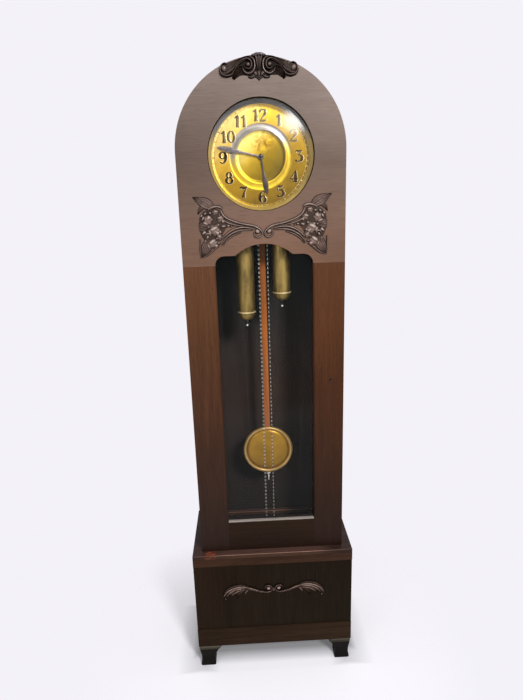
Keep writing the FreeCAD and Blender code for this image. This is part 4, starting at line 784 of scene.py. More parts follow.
def plinth_carving(finish):
    """Two acanthus leaves on stems that run out from a pair of volutes. Each run is its rows (x, z
    above the middle of the panel, width, height), its section and its steps."""
    back, middle = panel_face, base_foot + 216.0
    run, bead = carver(back)
    double, ribbed = half_round(2, 0.5, 17), half_round(5, 0.55, 27, 0.25)
    veined = half_round(3, 0.5, 19, 0.25)
    runs = [
        # volute: rises from the middle, turns over its ball and runs down into the stem
        ([(27, 1, 2.6, 6.4), (29.5, 8, 3.6, 7.6), (26, 15.5, 4.4, 8.4), (17, 17.6, 4.8, 8.6),
          (8, 13, 4.8, 8.6), (5, 4.5, 4.8, 8.4), (9.5, -4, 5, 8), (20, -8, 6, 7.8),
          (34, -6.5, 7.4, 7.6), (50, -2.5, 7.6, 7.4), (66, 2.5, 7.6, 7.2), (80, 7.5, 7.6, 7),
          (93, 11.5, 5.5, 6)], double, 90),
        ([(50, -0.5, 2.6, 6), (64, 5.5, 4.6, 7), (77, 10.5, 4.6, 7), (90, 14, 2.6, 5)], None, 24),
        # body of the leaf
        ([(78, 6, 8, 5), (92, 10, 19, 6.5), (108, 12, 25, 7), (126, 10, 27, 7),
          (142, 3.5, 26, 6.8), (154, -6, 21, 6.4), (162, -18, 12, 6), (161, -26.5, 3.5, 5)],
         ribbed, 70),
        # its crest and veins
        ([(86, 13.5, 3, 7), (102, 18, 4.4, 8.4), (120, 17.5, 4.6, 8.8), (138, 12, 4.6, 8.8),
          (153, 2.5, 4.2, 8.6), (163, -10, 3.6, 8), (165, -20, 2.4, 6)], None, 50),
        ([(96, 10, 2.4, 7), (112, 11, 3.6, 8.2), (130, 7, 3.8, 8.4), (145, -2, 3.6, 8.2),
          (155, -14, 2.4, 6.6)], None, 40),
        ([(96, 4, 2.4, 7), (112, 3.5, 3.4, 8), (126, -2, 3.6, 8), (138, -11, 2.4, 6.4)], None, 34),
        # lobes that hang below it
        ([(98, 2, 6, 5), (110, -4, 11, 6), (119, -14, 9, 5.8), (121, -25, 4, 5),
          (118, -28, 2, 4)], veined, 34),
        ([(112, 0, 8, 5), (128, -5, 12, 6), (140, -14, 9, 5.6), (146, -23, 3, 4)], veined, 30),
        ([(84, 3, 6, 5), (91, -3, 8, 5.6), (95, -10, 5, 5), (93, -14, 2, 3.5)], None, 22),
    ]
    forms = []
    for path, section, count in runs:
        forms += run(shifted(path, middle), section, count, 1.0)
    for x, z, radius, height, stretch, turn in ((17, 7, 6.6, 8.8, 1.3, 15),
                                                (160, -25.5, 2.9, 7.2, 1.0, 0)):
        forms += bead(x, middle + z, radius, height, stretch, turn)
    forms = mirrored(forms) + bead(0, middle - 1, 5.6, 5.0, 1.3) + bead(0, middle + 5, 3.2, 5.6)
    return build("plinth_leaves", forms, finish, "case", ["plinth_carving"])


# ---- dial ----
# radii of the sunk disc, of the chapter ring's inner edge and of the circle of the hours
DISC, RING, HOURS = 67.5, 86.0, 106.0
# a figure's height, and what its breadths and strokes are multiplied by
FIGURE_HEIGHT, FIGURE_BREADTH, FIGURE_WEIGHT = 31.0, 1.27, 1.48
# millimetres by which a figure stands further right
FIGURE_NUDGE = {6: 2.5, 7: 4.0, 8: 3.0, 9: 2.0, 10: 3.5}
# shares of a figure's height from the left of each figure to the next
ADVANCE = {"10": (0.47, 0.60), "11": (0.46, 0.46), "12": (0.46, 0.60), "1": (0.56,)}


def dial_sheet(finish):
    """The spun dial: a sunk disc, a half-round ring, a slope up to the chapter ring and a rolled
    rim, as one profile of (radius, depth behind the figures' face) turned about the arbor, with
    four feet behind it."""
    profile = np.array([
        (4.85, 1.5), (4.85, -1.1), (40, -1.2), (60, -1.0), (DISC - 0.8, -0.9), (DISC - 0.2, -1.3),
        (DISC, -2.2), (69.4, -3.0), (71.2, -3.1), (73.0, -2.6), (74.0, -2.2), (78.0, -1.7),
        (82.0, -1.5), (84.6, -1.6), (RING, -1.95), (87.4, -2.0), (126.5, -1.9), (134.2, -1.8),
        (135.0, -2.3), (136.5, -2.9), (138.4, -2.9), (140.2, -2.2), (141, -1.0), (141, 1.5)])
    profile += [0.0, dial_face]
    back = dial_face + 1.5
    shells = [turned(profile, 0, 0, dial_z, "y", 160, closed=True)]
    foot = [(0, back), (2, back), (2, back + 16), (0, back + 16)]
    for x in (-58.0, 58.0):
        for up in (-46.4, 58.0):
            shells.append(turned(foot, x, 0, dial_z + up, "y", 16))
    return build("dial_sheet", shells, finish, "case", ["dial_plate", "dial_centre_disc"],
                 50.0)


def dial_collar(finish):
    """A slanting metal collar round the dial, turned from (radius, depth behind the figures'
    face): it opens from the dial's rim to the back of the door."""
    profile = np.array([(134.6, -3.3), (136.0, -4.6), (139.5, -8.0), (144.5, -12.4),
                        (149.5, -16.4), (151.5, -16.6), (152.2, -15.6), (147.0, -11.0),
                        (142.0, -6.0), (141.4, -0.4), (139.8, 0.4), (139.6, -2.6)])
    profile += [0.0, dial_face]
    return build("dial_collar", [turned(profile, 0, 0, dial_z, "y", 160, closed=True)], finish,
                 "case", sharp=60.0)


def minute_track(finish):
    """Two raised circles with a bar at each minute between them, wider at each five:
    P = centre + r (sin a, cos a), a = minute / 60 of a turn."""
    front = dial_face - 1.85
    inner, outer, rise, minutes = 127.0, 133.0, 0.45, 60
    shells = []
    for radius in (inner, outer):
        ring = [(radius - 0.5, front), (radius - 0.3, front - rise), (radius + 0.3, front - rise),
                (radius + 0.5, front)]
        shells.append(turned(ring, 0, 0, dial_z, "y", 180, closed=True))
    minute = np.arange(minutes)
    angle = minute * 2 * math.pi / minutes
    wide, narrow = 1.8, 0.8
    half_width = np.where(minute % 5 == 0, wide, narrow)
    # eight corners of every bar at once: along the radius, across it and forwards
    corners = []
    for depth in (front, front - rise):
        for r, side in ((inner, -1), (inner, 1), (outer, 1), (outer, -1)):
            across = side * half_width
            corners.append(np.column_stack([r * np.sin(angle) + across * np.cos(angle),
                                            np.full(minutes, depth),
                                            dial_z + r * np.cos(angle) - across * np.sin(angle)]))
    corners = np.stack(corners, axis=1)
    faces = np.array([[0, 1, 2, 3], [4, 5, 6, 7], [0, 1, 5, 4], [1, 2, 6, 5], [2, 3, 7, 6],
                      [3, 0, 4, 7]])
    quads = (minute[:, None, None] * 8 + faces).reshape(-1, 4)
    shells.append((corners.reshape(-1, 3), quads))
    return build("minute_track", shells, finish, "case", sharp=35.0)


def loop_of(x, z, rx, rz, thin, thick):
    """A closed ring for round figures: an ellipse whose stroke is thin at top and bottom and
    thick at the sides, width = thin + (thick - thin) |cos t|^1.4."""
    t = circle(40)
    width = thin + (thick - thin) * np.abs(np.cos(t)) ** 1.4
    return np.column_stack([x + rx * np.cos(t), z + rz * np.sin(t), width])


# Each figure's strokes, as rows of (across, up, width), and its loops, as the x, z, rx, rz, thin
# and thick of loop_of(), all in shares of its height.
FIGURES = {
    "0": ([], [(0.30, 0.5, 0.20, 0.46, 0.045, 0.17)]),
    "1": ([[(0.06, 0.76, 0.02), (0.16, 0.83, 0.09), (0.27, 0.96, 0.05)],
           [(0.27, 0.99, 0.05), (0.29, 0.86, 0.17), (0.29, 0.5, 0.19), (0.29, 0.12, 0.22),
            (0.29, 0.0, 0.27)]], []),
    "2": ([[(0.09, 0.72, 0.14), (0.13, 0.87, 0.12), (0.30, 0.965, 0.06), (0.46, 0.86, 0.15),
            (0.46, 0.66, 0.17), (0.31, 0.40, 0.10), (0.08, 0.07, 0.05)],
           [(0.04, 0.06, 0.06), (0.20, 0.05, 0.11), (0.38, 0.05, 0.11), (0.52, 0.12, 0.05),
            (0.56, 0.22, 0.02)]], []),
    "3": ([[(0.09, 0.78, 0.05), (0.12, 0.93, 0.08), (0.30, 0.90, 0.12), (0.50, 0.96, 0.04)],
           [(0.50, 0.95, 0.04), (0.38, 0.76, 0.05), (0.26, 0.58, 0.05)],
           [(0.24, 0.57, 0.05), (0.42, 0.54, 0.11), (0.52, 0.34, 0.19), (0.44, 0.11, 0.14),
            (0.27, 0.03, 0.06), (0.13, 0.07, 0.10), (0.08, 0.17, 0.14)]], []),
    "4": ([[(0.42, 0.99, 0.04), (0.41, 0.75, 0.14), (0.40, 0.4, 0.18), (0.40, 0.03, 0.19)],
           [(0.42, 0.98, 0.04), (0.22, 0.62, 0.06), (0.03, 0.30, 0.05)],
           [(0.00, 0.26, 0.06), (0.30, 0.26, 0.06), (0.60, 0.26, 0.06)],
           [(0.22, 0.02, 0.05), (0.40, 0.02, 0.06), (0.58, 0.02, 0.05)]], []),
    "5": ([[(0.13, 0.95, 0.05), (0.12, 0.75, 0.05), (0.11, 0.53, 0.05)],
           [(0.12, 0.93, 0.08), (0.28, 0.89, 0.14), (0.40, 0.91, 0.09), (0.50, 0.99, 0.03)],
           [(0.12, 0.54, 0.05), (0.27, 0.62, 0.08), (0.45, 0.52, 0.14), (0.51, 0.31, 0.19),
            (0.43, 0.10, 0.13), (0.27, 0.03, 0.06), (0.13, 0.07, 0.10), (0.08, 0.17, 0.14)]], []),
    "6": ([[(0.49, 0.83, 0.10), (0.38, 0.95, 0.06), (0.23, 0.89, 0.08), (0.12, 0.68, 0.15),
            (0.10, 0.42, 0.19), (0.12, 0.20, 0.15), (0.20, 0.07, 0.08)]],
          [(0.31, 0.30, 0.19, 0.265, 0.05, 0.16)]),
    "7": ([[(0.04, 0.74, 0.05), (0.06, 0.92, 0.08), (0.20, 0.88, 0.13), (0.36, 0.86, 0.13),
            (0.53, 0.98, 0.04)],
           [(0.53, 0.96, 0.04), (0.40, 0.68, 0.06), (0.29, 0.40, 0.13), (0.25, 0.16, 0.19),
            (0.25, 0.02, 0.21)]], []),
    "8": ([], [(0.29, 0.745, 0.155, 0.215, 0.05, 0.13), (0.29, 0.275, 0.20, 0.245, 0.05, 0.17)]),
}


def figure(character, left, low, back, thickness, spread=0.0):
    """The strokes of one figure as flat runs with chamfered edges, each spread wider by the given
    millimetres; a 9 is a 6 turned half way round."""
    height = FIGURE_HEIGHT
    around = character == "9"
    strokes, loops = FIGURES["6" if around else character]

    def placed(rows):
        """Rows (across, up, width) of a stroke as rows of a carved run."""
        rows = np.array(rows, float)
        if around:
            rows[:, 0], rows[:, 1] = 0.6 - rows[:, 0], 1.0 - rows[:, 1]
        return np.column_stack([left + FIGURE_BREADTH * height * rows[:, 0],
                                low + height * rows[:, 1],
                                FIGURE_WEIGHT * height * rows[:, 2] + 2 * spread,
                                np.full(len(rows), thickness)])

    shells = [carved_run(placed(rows), back, CHAMFERED, 26) for rows in strokes]
    shells += [carved_run(placed(loop_of(*ring)), back, CHAMFERED, closed=True)
               for ring in loops]
    return shells


def dial_figures(bronze, pale):
    """Upright bold figures, each hour centred on the circle of the hours, of dark bronze on a pale
    copy, 0.35 mm broader all round, that shows below them and to the right as a painted highlight
    on their edges."""
    figures, edge_highlight = [], []
    back = dial_face - 1.8
    for hour in range(1, 13):
        angle = math.radians(30.0 * hour)
        x, z = HOURS * math.sin(angle), dial_z + HOURS * math.cos(angle)
        text = str(hour)
        advance = ADVANCE.get(text, (0.6,))
        left = x + FIGURE_NUDGE.get(hour, 0.0) - FIGURE_HEIGHT * FIGURE_BREADTH * sum(advance) / 2
        low = z - FIGURE_HEIGHT / 2
        for character, step in zip(text, advance):
            figures += figure(character, left, low, back, 1.3)
            # a pale copy, lower and to the right: painted highlight on the figures' edges
            edge_highlight += figure(character, left + 0.7, low - 0.6, back, 0.5, 0.35)
            left += FIGURE_HEIGHT * FIGURE_BREADTH * step
    build("figure_edge_highlight", edge_highlight, pale, "case", sharp=30.0)
    return build("dial_figures", figures, bronze, "case", ["dial_numerals"],
                 30.0)


# ---- hands ----
HAND_THICKNESS = 1.0


def hand(name, length, width, degrees, boss_radius, bore, front, finish, body, cad):
    """A slender spear: a thin neck that swells to a long blade and narrows to a point, with a
    ridge along it, and a turned boss round the pipe. w is its width at the shares s of its
    length."""
    angle = math.radians(degrees)
    back = front + HAND_THICKNESS
    s = np.array([0.03, 0.12, 0.3, 0.42, 0.52, 0.64, 0.76, 0.88, 0.96, 1.0])
    w = width * np.array([0.34, 0.34, 0.32, 0.40, 0.62, 0.90, 1.0, 0.72, 0.30, 0.04])
    path = np.column_stack([length * s * math.sin(angle), dial_z + length * s * math.cos(angle), w,
                            np.full(len(s), HAND_THICKNESS)])
    section = np.array([[1.0, 0.0], [1.0, 0.45], [0.55, 0.8], [0.0, 1.0], [-0.55, 0.8],
                        [-1.0, 0.45], [-1.0, 0.0]])
    ring = [(bore, back), (bore, front), (boss_radius - 0.6, front - 0.2),
            (boss_radius, front + 0.3), (boss_radius, back)]
    shells = [carved_run(path, back, section, 60),
              turned(ring, 0, 0, dial_z, "y", 40, closed=True)]
    return build(name, shells, finish, body, [cad], 30.0)


def hand_nut(finish):
    """A domed nut, turned from (radius, depth behind its back)."""
    profile = np.array([(0, -5.5), (2.0, -5.3), (3.6, -4.5), (4.6, -3.5), (5.0, -2.7), (5.0, -1.9),
                        (4.4, -1.6), (4.4, 0), (0, 0)]) + [0.0, node_box("hand_nut")[1][1]]
    return build("centre_nut", [turned(profile, 0, 0, dial_z, "y", 40)], finish, "centre_arbor",
                 ["hand_nut"], 40.0)


# ---- glass and bezel ----
def domed_glass(finish):
    """A spherical cap and a flat rim behind the board. The cap's depth at radius r is
    flange - rise + sphere - sqrt(sphere^2 - r^2), and its back lies a thickness behind it."""
    glass_low, glass_high = node_box("dial_glass")
    rim, rise, outer, thickness = 141.0, 12.0, glass_high[0], 2.5
    flange = glass_low[1] + rise
    sphere = (rim ** 2 + rise ** 2) / (2 * rise)
    r = np.linspace(0.0, rim, 22)
    bulge = flange - rise + sphere - np.sqrt(sphere ** 2 - r ** 2)
    front = np.column_stack([r, bulge])
    back = front[::-1] + [0.0, thickness]
    profile = np.vstack([front, [(outer, flange), (outer, flange + thickness)], back])
    return build("dial_dome", [turned(profile, 0, 0, dial_z, "y", 96)], finish, "door",
                 ["dial_glass"], 40.0)


def bezel(finish):
    """The ring that holds the glass: a half-round (radius, depth) section behind its flat rim."""
    back, front = door_back - 0.1, door_back - 5.4
    profile = [(143.2, front), (143.0, back - 3.4), (144.0, back - 1.1), (146.5, back - 0.1),
               (151.4, back), (151.9, back - 0.9), (151.9, front)]
    return build("glass_ring", [turned(profile, 0, 0, dial_z, "y", 120, closed=True)], finish,
                 "door", ["dial_bezel"], 40.0)


def opening_lip(finish):
    """A thin black fillet round the dial opening, a painted shadow line there, turned from
    (radius, depth).
    """
    front, back = door_front - 0.3, door_back - 9.6
    profile = [(144.0, front), (142.9, front + 0.7), (142.6, front + 1.9), (142.6, back - 0.4),
               (144.0, back)]
    return build("opening_shadow_line", [turned(profile, 0, 0, dial_z, "y", 140, closed=True)], finish,
                 "door", sharp=50.0)


# ---- pendulum ----
def pendulum_bob(finish, rim_finish):
    """A low dome with an upright flat strip down its middle, front and back alike, inside a rolled
    rim 12 mm broad. The strip's face stands 0.7 mm above the dome, y = dome(|z|) + 0.7."""
    r = np.array([0, 12, 25, 40, 52, 62, 68, 70.2, 71.0])
    y = np.array([11.2, 11.0, 10.4, 9.2, 7.8, 6.2, 5.0, 3.4, 2.6])
    dome = np.vstack([np.column_stack([r, pendulum_y - y]),
                      np.column_stack([r, pendulum_y + y])[::-1]])
    shells = [turned(dome, 0, 0, bob_z, "y", 96)]
    strip_reach, half_width = 68.0, 8.75
    reach = np.linspace(-strip_reach, strip_reach, 35)
    lift = np.interp(np.abs(reach), r, y)
    edge = np.array([(-1.0, -0.8), (-0.94, 0.7), (0.94, 0.7), (1.0, -0.8)])
    for side in (-1, 1):
        rows = np.stack(np.broadcast_arrays(half_width * edge[:, 0],
                                            pendulum_y + side * (lift[:, None] + edge[:, 1]),
                                            bob_z + reach[:, None]), axis=-1)
        middle = [np.broadcast_to(rows[k].mean(0), (1, 4, 3)) for k in (0, -1)]
        shells.append(shell(np.concatenate([middle[0], rows, middle[1]])))
    made = build("bob", shells, finish, "pendulum", ["pendulum_bob"], 40.0)
    roll = oval(77.2, pendulum_y, 6.3, 7.0, 20)
    build("bob_rim", [turned(roll, 0, 0, bob_z, "y", 120, closed=True)], rim_finish, "pendulum",
          sharp=60.0)
    return made


def pendulum_rod(wood, brass, steel, pale):
    """Flat rod with rounded corners: a rounded square section carried up from the bob, its brass
    ferrule, spring strip and threaded stud, whose radius alternates every half millimetre."""
    across, along = rounded_square(24, 6.0)

    def bar(half_x, half_y, heights):
        """The section times half_x and half_y at each height, drawn in at both ends."""
        share = np.array([0.0, 0.86] + [1.0] * (len(heights) - 4) + [0.86, 0.0])[:, None]
        z = np.asarray(heights, float)[:, None]
        return shell(np.stack([half_x * share * across, pendulum_y + half_y * share * along,
                               z + 0.0 * across], -1))

    rod_low, rod_high = node_box("pendulum_rod")
    # the ferrule's top, and the wood's top and foot
    top = rod_high[2] - 14.0
    wood_top, low = top - 20.0, rod_low[2] + 42.0
    heights = [low, low, low + 0.8, *np.linspace(low + 20, wood_top - 20, 20),
               wood_top - 0.8, wood_top, wood_top]
    rod = build("rod", [bar(rod_high[0], 4.0, heights)], wood, "pendulum", ["pendulum_rod"],
                40.0)
    neck = top + np.array([-20.5, -20.5, -19.5, -1, 0, 0])
    clasp = top + np.array([-34, -34, -33.4, -21, -20.3, -20.3])
    strip = top + np.array([-2, -2, -1.5, 13.0, 13.8, 13.8])
    build("rod_ferrule", [bar(5.0, 3.5, neck), bar(9.4, 4.6, clasp)], brass, "pendulum")
    build("rod_spring", [bar(0.25, 4.0, strip)], steel, "pendulum")
    z = np.arange(rod_low[2] + 4.0, low + 1.0, 0.5)
    thread = np.column_stack([np.where(np.arange(len(z)) % 2, 2.5, 2.15), z])
    tip = rod_low[2]
    thread = np.vstack([[(0, tip), (2.4, tip + 0.2), (2.9, tip + 1.4), (2.6, tip + 3.2)], thread,
                        [(0, z[-1])]])
    build("rod_stud", [turned(thread, 0, pendulum_y, 0, "z", 20)], pale, "pendulum",
          sharp=20.0)
    return rod


def rating_nut(finish):
    """A knurled nut: P(i, t) with radius r_i (1 - 0.03 (1 - cos 28 t)) on its rim."""
    low = node_box("rating_nut")[0][2]
    profile = np.array([(2.5, 0.1), (5.6, 0.1), (6.6, 0.9), (7.0, 1.9), (7.0, 4.3), (6.6, 5.3),
                        (5.6, 5.9), (2.5, 5.9)]) + [0.0, low]
    t = circle(112)
    r = profile[:, :1] * (1.0 - np.where(profile[:, :1] > 6.0, 0.03, 0.0)
                          * (1.0 - np.cos(28 * t)))
    points = np.stack([r * np.cos(t), pendulum_y + r * np.sin(t), profile[:, 1:] + 0.0 * t], -1)
    return build("rating_knob", [shell(points, rows_close=True)], finish, "pendulum",
                 ["rating_nut"], 30.0)


# ---- weights and chains ----
# by how much a free chain's end rises, and the radius and wire of its ring
CHAIN_RISE, CHAIN_RING, CHAIN_RING_WIRE = 1000.0, 8.0, 1.3
LINK_PITCH, LINK_WIRE, LINK_HALF_WIDTH = 6.6, 0.66, 1.75
# how far the links reach past the hook on the weight and into the free end's ring
PAST_HOOK, INTO_RING = 6.0, 1.0
# radius of a weight's sleeve
SLEEVE = 26.0


def weight(name, finish, bead_highlight_finish, neck_finish, ball_glint_finish, cad):
    """A brass sleeve between two beads over a domed foot, r = radius sin^0.5 t, with a disc and a
    ball on a thin neck below and a stepped cap above, as one (radius, height) profile, and the
    ring that it hangs by. Heights are above the ball's foot. The beads, the neck and the ball are
    pieces of their own."""
    low, high = node_box(cad)
    x, y = (low[0] + high[0]) / 2, (low[1] + high[1]) / 2
    t = np.linspace(0.06, math.pi / 2, 12)
    dome_radius, dome_low, dome_height, ball_radius = 24.5, 21.0, 23.0, 3.8
    dome = np.column_stack([dome_radius * np.sin(t) ** 0.5,
                            dome_low + dome_height * (1 - np.cos(t))])
    a = np.linspace(-math.pi / 2, math.pi / 2, 7)
    ball = ball_radius * np.column_stack([np.cos(a), 1.0 + np.sin(a)])
    neck = [(0, 7.2), (2.0, 7.3), (2.0, 15.0), (8.1, 15.1), (8.5, 15.8), (8.1, 16.5), (2.4, 16.7),
            (2.4, 21.5), (0, 21.5)]
    profile = np.vstack([
        [(0, dome_low)], dome,
        np.column_stack([np.full(9, SLEEVE), np.linspace(44.5, 286.5, 9)]),
        [(25.4, 288.2), (22.0, 290.2), (15.6, 295.2), (9.0, 296.6), (5.0, 298.0), (3.6, 300.0),
         (0, 300.0)]])
    shells = [turned(profile + [0.0, low[2]], x, y, 0, "z", 72)]
    shells.append(turned(oval(6.0, y, 1.6, 1.6, 14), x, 0, high[2] - 7.6, "y", 36, closed=True))
    beads = [turned(oval(SLEEVE - 0.1, low[2] + z, 2.0, 2.3, 16), x, y, 0, "z", 72, closed=True)
             for z in (45.5, 285.5)]
    # the beads are pale as a painted highlight
    build(name + "_beads", beads, bead_highlight_finish, cad, sharp=60.0)
    build(name + "_neck", [turned(neck + np.array([0.0, low[2]]), x, y, 0, "z", 32)], neck_finish,
          cad, sharp=32.0)
    # the ball is pale as a painted glint
    build(name + "_ball", [turned(ball + [0.0, low[2]], x, y, 0, "z", 24)], ball_glint_finish, cad,
          sharp=60.0)
    return build(name, shells, finish, cad, [cad], 32.0)


def links(centres, along, across):
    """Chain links as stretched rings. Centre k lies on the run, along[k] is its direction and
    across[k] the way it lies flat: P(k, a, b) = centre + (L cos a + wire cos b cos a) along
    + (W sin a + wire cos b sin a) across + wire sin b (along x across)."""
    a = circle(8)[None, :, None]
    b = circle(4)[None, None, :] + math.pi / 4
    half_length = (LINK_PITCH + 2 * LINK_WIRE) / 2
    u = half_length * np.cos(a) + LINK_WIRE * np.cos(b) * np.cos(a)
    v = (LINK_HALF_WIDTH * np.sign(np.sin(a)) * np.abs(np.sin(a)) ** 0.6
         + LINK_WIRE * np.cos(b) * np.sin(a))
    w = LINK_WIRE * np.sin(b) + 0.0 * a
    out = np.cross(along, across)
    points = (centres[:, None, None, :] + u[..., None] * along[:, None, None, :]
              + v[..., None] * across[:, None, None, :] + w[..., None] * out[:, None, None, :])
    one_link, quads = shell(points[0], rows_close=True)
    starts = np.arange(len(centres))[:, None, None] * len(one_link)
    return points.reshape(-1, 3), (starts + quads).reshape(-1, 4)


def straight_chain(x, y, low, high, first_flat):
    """Links hung in a straight run, each turned a quarter against the last."""
    count = int(round((high - low) / LINK_PITCH))
    z = low + (np.arange(count) + 0.5) * (high - low) / count
    centres = np.column_stack([np.full(count, x), np.full(count, y), z])
    along = np.tile([0.0, 0.0, 1.0], (count, 1))
    flat = (np.arange(count) % 2 == first_flat)[:, None]
    across = np.where(flat, [[1.0, 0.0, 0.0]], [[0.0, 1.0, 0.0]])
    return links(centres, along, across)


def wheel_chain(x, y, z, radius):
    """Links over the top half of a chain wheel, centred at radius (cos a, sin a). They stay over
    it whichever way it has turned."""
    count = 10
    angle = math.pi * (np.arange(count) + 0.5) / count
    centres = np.column_stack([x + radius * np.cos(angle), np.full(count, y),
                               z + radius * np.sin(angle)])
    along = np.column_stack([-np.sin(angle), np.zeros(count), np.cos(angle)])
    out = np.column_stack([np.cos(angle), np.zeros(count), np.sin(angle)])
    flat = (np.arange(count) % 2 == 0)[:, None]
    return links(centres, along, np.where(flat, out, [[0.0, 1.0, 0.0]]))


def chain(side, finish):
    """One train's chain: links from the weight up to the wheel, links over the wheel, and free
    links down to a ring."""
    loaded_low, loaded_high = node_box(side + "_chain_loaded")
    free_low, free_high = node_box(side + "_chain_free")
    wheel_low, wheel_high = node_box(side + "_great_wheel")
    x, y = (loaded_low[[0, 1]] + loaded_high[[0, 1]]) / 2
    free_x, wheel_x = (free_low[0] + free_high[0]) / 2, (wheel_low[0] + wheel_high[0]) / 2
    hook, wheel_z = loaded_low[2], loaded_high[2]
    loaded = build(side + "_links_loaded", [straight_chain(x, y, hook - PAST_HOOK, wheel_z, 1)],
                   finish, sharp=60.0)
    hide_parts(side + "_chain_loaded")
    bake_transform(loaded)
    end = free_low[2] + 2 * CHAIN_RING + CHAIN_RING_WIRE
    free = build(side + "_links_free", [straight_chain(free_x, y, end - INTO_RING, wheel_z, 0)],
                 finish, "case", sharp=60.0)
    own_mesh(free)
    ring = oval(CHAIN_RING, y, CHAIN_RING_WIRE, CHAIN_RING_WIRE, 12)
    build(side + "_chain_ring", [turned(ring, free_x, 0, end - CHAIN_RING, "y", 36, closed=True)],
          finish, side + "_chain_tail", [side + "_chain_free"], 60.0)
    build(side + "_links_over_wheel", [wheel_chain(wheel_x, y, wheel_z, abs(wheel_x - x))],
          finish, "case", sharp=60.0)


# ---- feet ----
def feet(name, finish, cad):
    """Square block feet under the base's corners. P(i, t) = w_i times a rounded square, |cos t|
    and |sin t| raised to 2 / p, at height z_i and set s_i outwards: a toe, a hollow neck that
    spreads inwards to a shoulder, and a bevelled plate with a small pointed spur at its inner
    end. Rows are (w, z, s)."""
    low, high = node_box(cad)
    plate_half, plate_z, top = 36.0, high[2] - 15.0, high[2]
    y = (low[1] + high[1]) / 2
    outward_y = math.copysign(1.0, y)
    body = np.array([(0.0, 0.0, 7.5), (24.0, 0.0, 7.5), (25.2, 1.4, 7.5), (25.4, 5.0, 7.5),
                     (24.6, 10.0, 7.4), (23.4, 14.0, 7.4), (22.9, 20.0, 7.2), (23.2, 28.0, 6.8),
                     (24.2, 36.0, 6.2), (26.0, 45.0, 5.4), (28.6, 54.0, 4.4), (31.2, 61.0, 3.2),
                     (32.4, 66.0, 2.4), (32.4, plate_z + 0.5, 2.4), (0.0, plate_z + 0.5, 2.4)])
    plate = np.array([(0.0, plate_z), (34.6, plate_z), (35.8, plate_z + 1.2),
                      (36.0, plate_z + 6.0), (35.4, plate_z + 8.0), (32.2, plate_z + 12.2),
                      (31.4, plate_z + 13.4), (31.4, top), (0.0, top)])
    plate = np.column_stack([plate, np.zeros(len(plate))])
    a, b = rounded_square(64, 14.0)
    shells = []
    for side in (-1.0, 1.0):
        x = side * (high[0] - plate_half)
        for w, z, aside in ([column[:, None] for column in profile.T] for profile in (body, plate)):
            shells.append(shell(np.stack([x + side * aside + w * a, y + outward_y * aside + w * b,
                                          z + 0.0 * a], -1)))
        spur = np.array([(0.0, 0.0), (-side * 12.0, 0.0), (-side * 7.0, -5.0), (0.0, -11.0)])
        edge = spur + [x - side * (plate_half - 1.0), top]
        middle = np.broadcast_to(edge.mean(0), (4, 2))
        front, back = y - 31.0, y - 12.0
        rows = [np.column_stack([outline[:, 0], np.full(4, depth), outline[:, 1]])
                for outline, depth in ((middle, front), (edge, front), (edge, back),
                                       (middle, back))]
        shells.append(shell(np.stack(rows)))
    return build(name, shells, finish, "case", [cad], 28.0)


def key_plate(finish):
    """A small thread escutcheon: a raised keyhole outline, wide above and narrow below. Its radii
    change by the cube of -sin t below its middle."""
    lock_low, lock_high = node_box("door_lock")
    x, z = (lock_low[0] + lock_high[0]) / 2, (lock_low[2] + lock_high[2]) / 2
    t = circle(44)
    below = np.clip(-np.sin(t), 0.0, 1.0) ** 3
    radius_x = 4.6 - 1.6 * below
    radius_z = 4.6 + 7.0 * below
    path = np.column_stack([x + radius_x * np.cos(t), z + radius_z * np.sin(t), np.full(44, 1.5),
                            np.full(44, 0.8)])
    return build("key_plate", [carved_run(path, door_front, half_round(1, 0.0, 7), closed=True)],
                 finish, "door", sharp=60.0)


# ---- stage and light ----
# metres: half the base's width and depth, half the floor's width, and where the floor fades out
FOOTPRINT, FLOOR_REACH, FLOOR_FADE = (0.262, 0.138), 6.0, (0.06, 0.42)


def set_world():
    """Soft white light from all round. The camera, metal and glass see the same white at its full
    strength."""
    world = bpy.data.worlds.new("studio")
    bpy.context.scene.world = world
    world.use_nodes = True
    tree = world.node_tree
    tree.nodes.clear()
    ray = node(tree, "ShaderNodeLightPath").outputs
    seen = maths(tree, "MAXIMUM", ray["Is Camera Ray"], ray["Is Glossy Ray"])
    seen = maths(tree, "MAXIMUM", seen, ray["Is Transmission Ray"])
    soft, white = (node(tree, "ShaderNodeBackground", {"Color": colour, "Strength": strength})
                   for colour, strength in (((1.0, 0.99, 0.98, 1.0), 0.34),
                                            ((0.905, 0.885, 0.945, 1.0), 1.0)))
    both = node(tree, "ShaderNodeMixShader", {0: seen, 1: soft.outputs[0], 2: white.outputs[0]})
    node(tree, "ShaderNodeOutputWorld", {"Surface": both.outputs[0]})


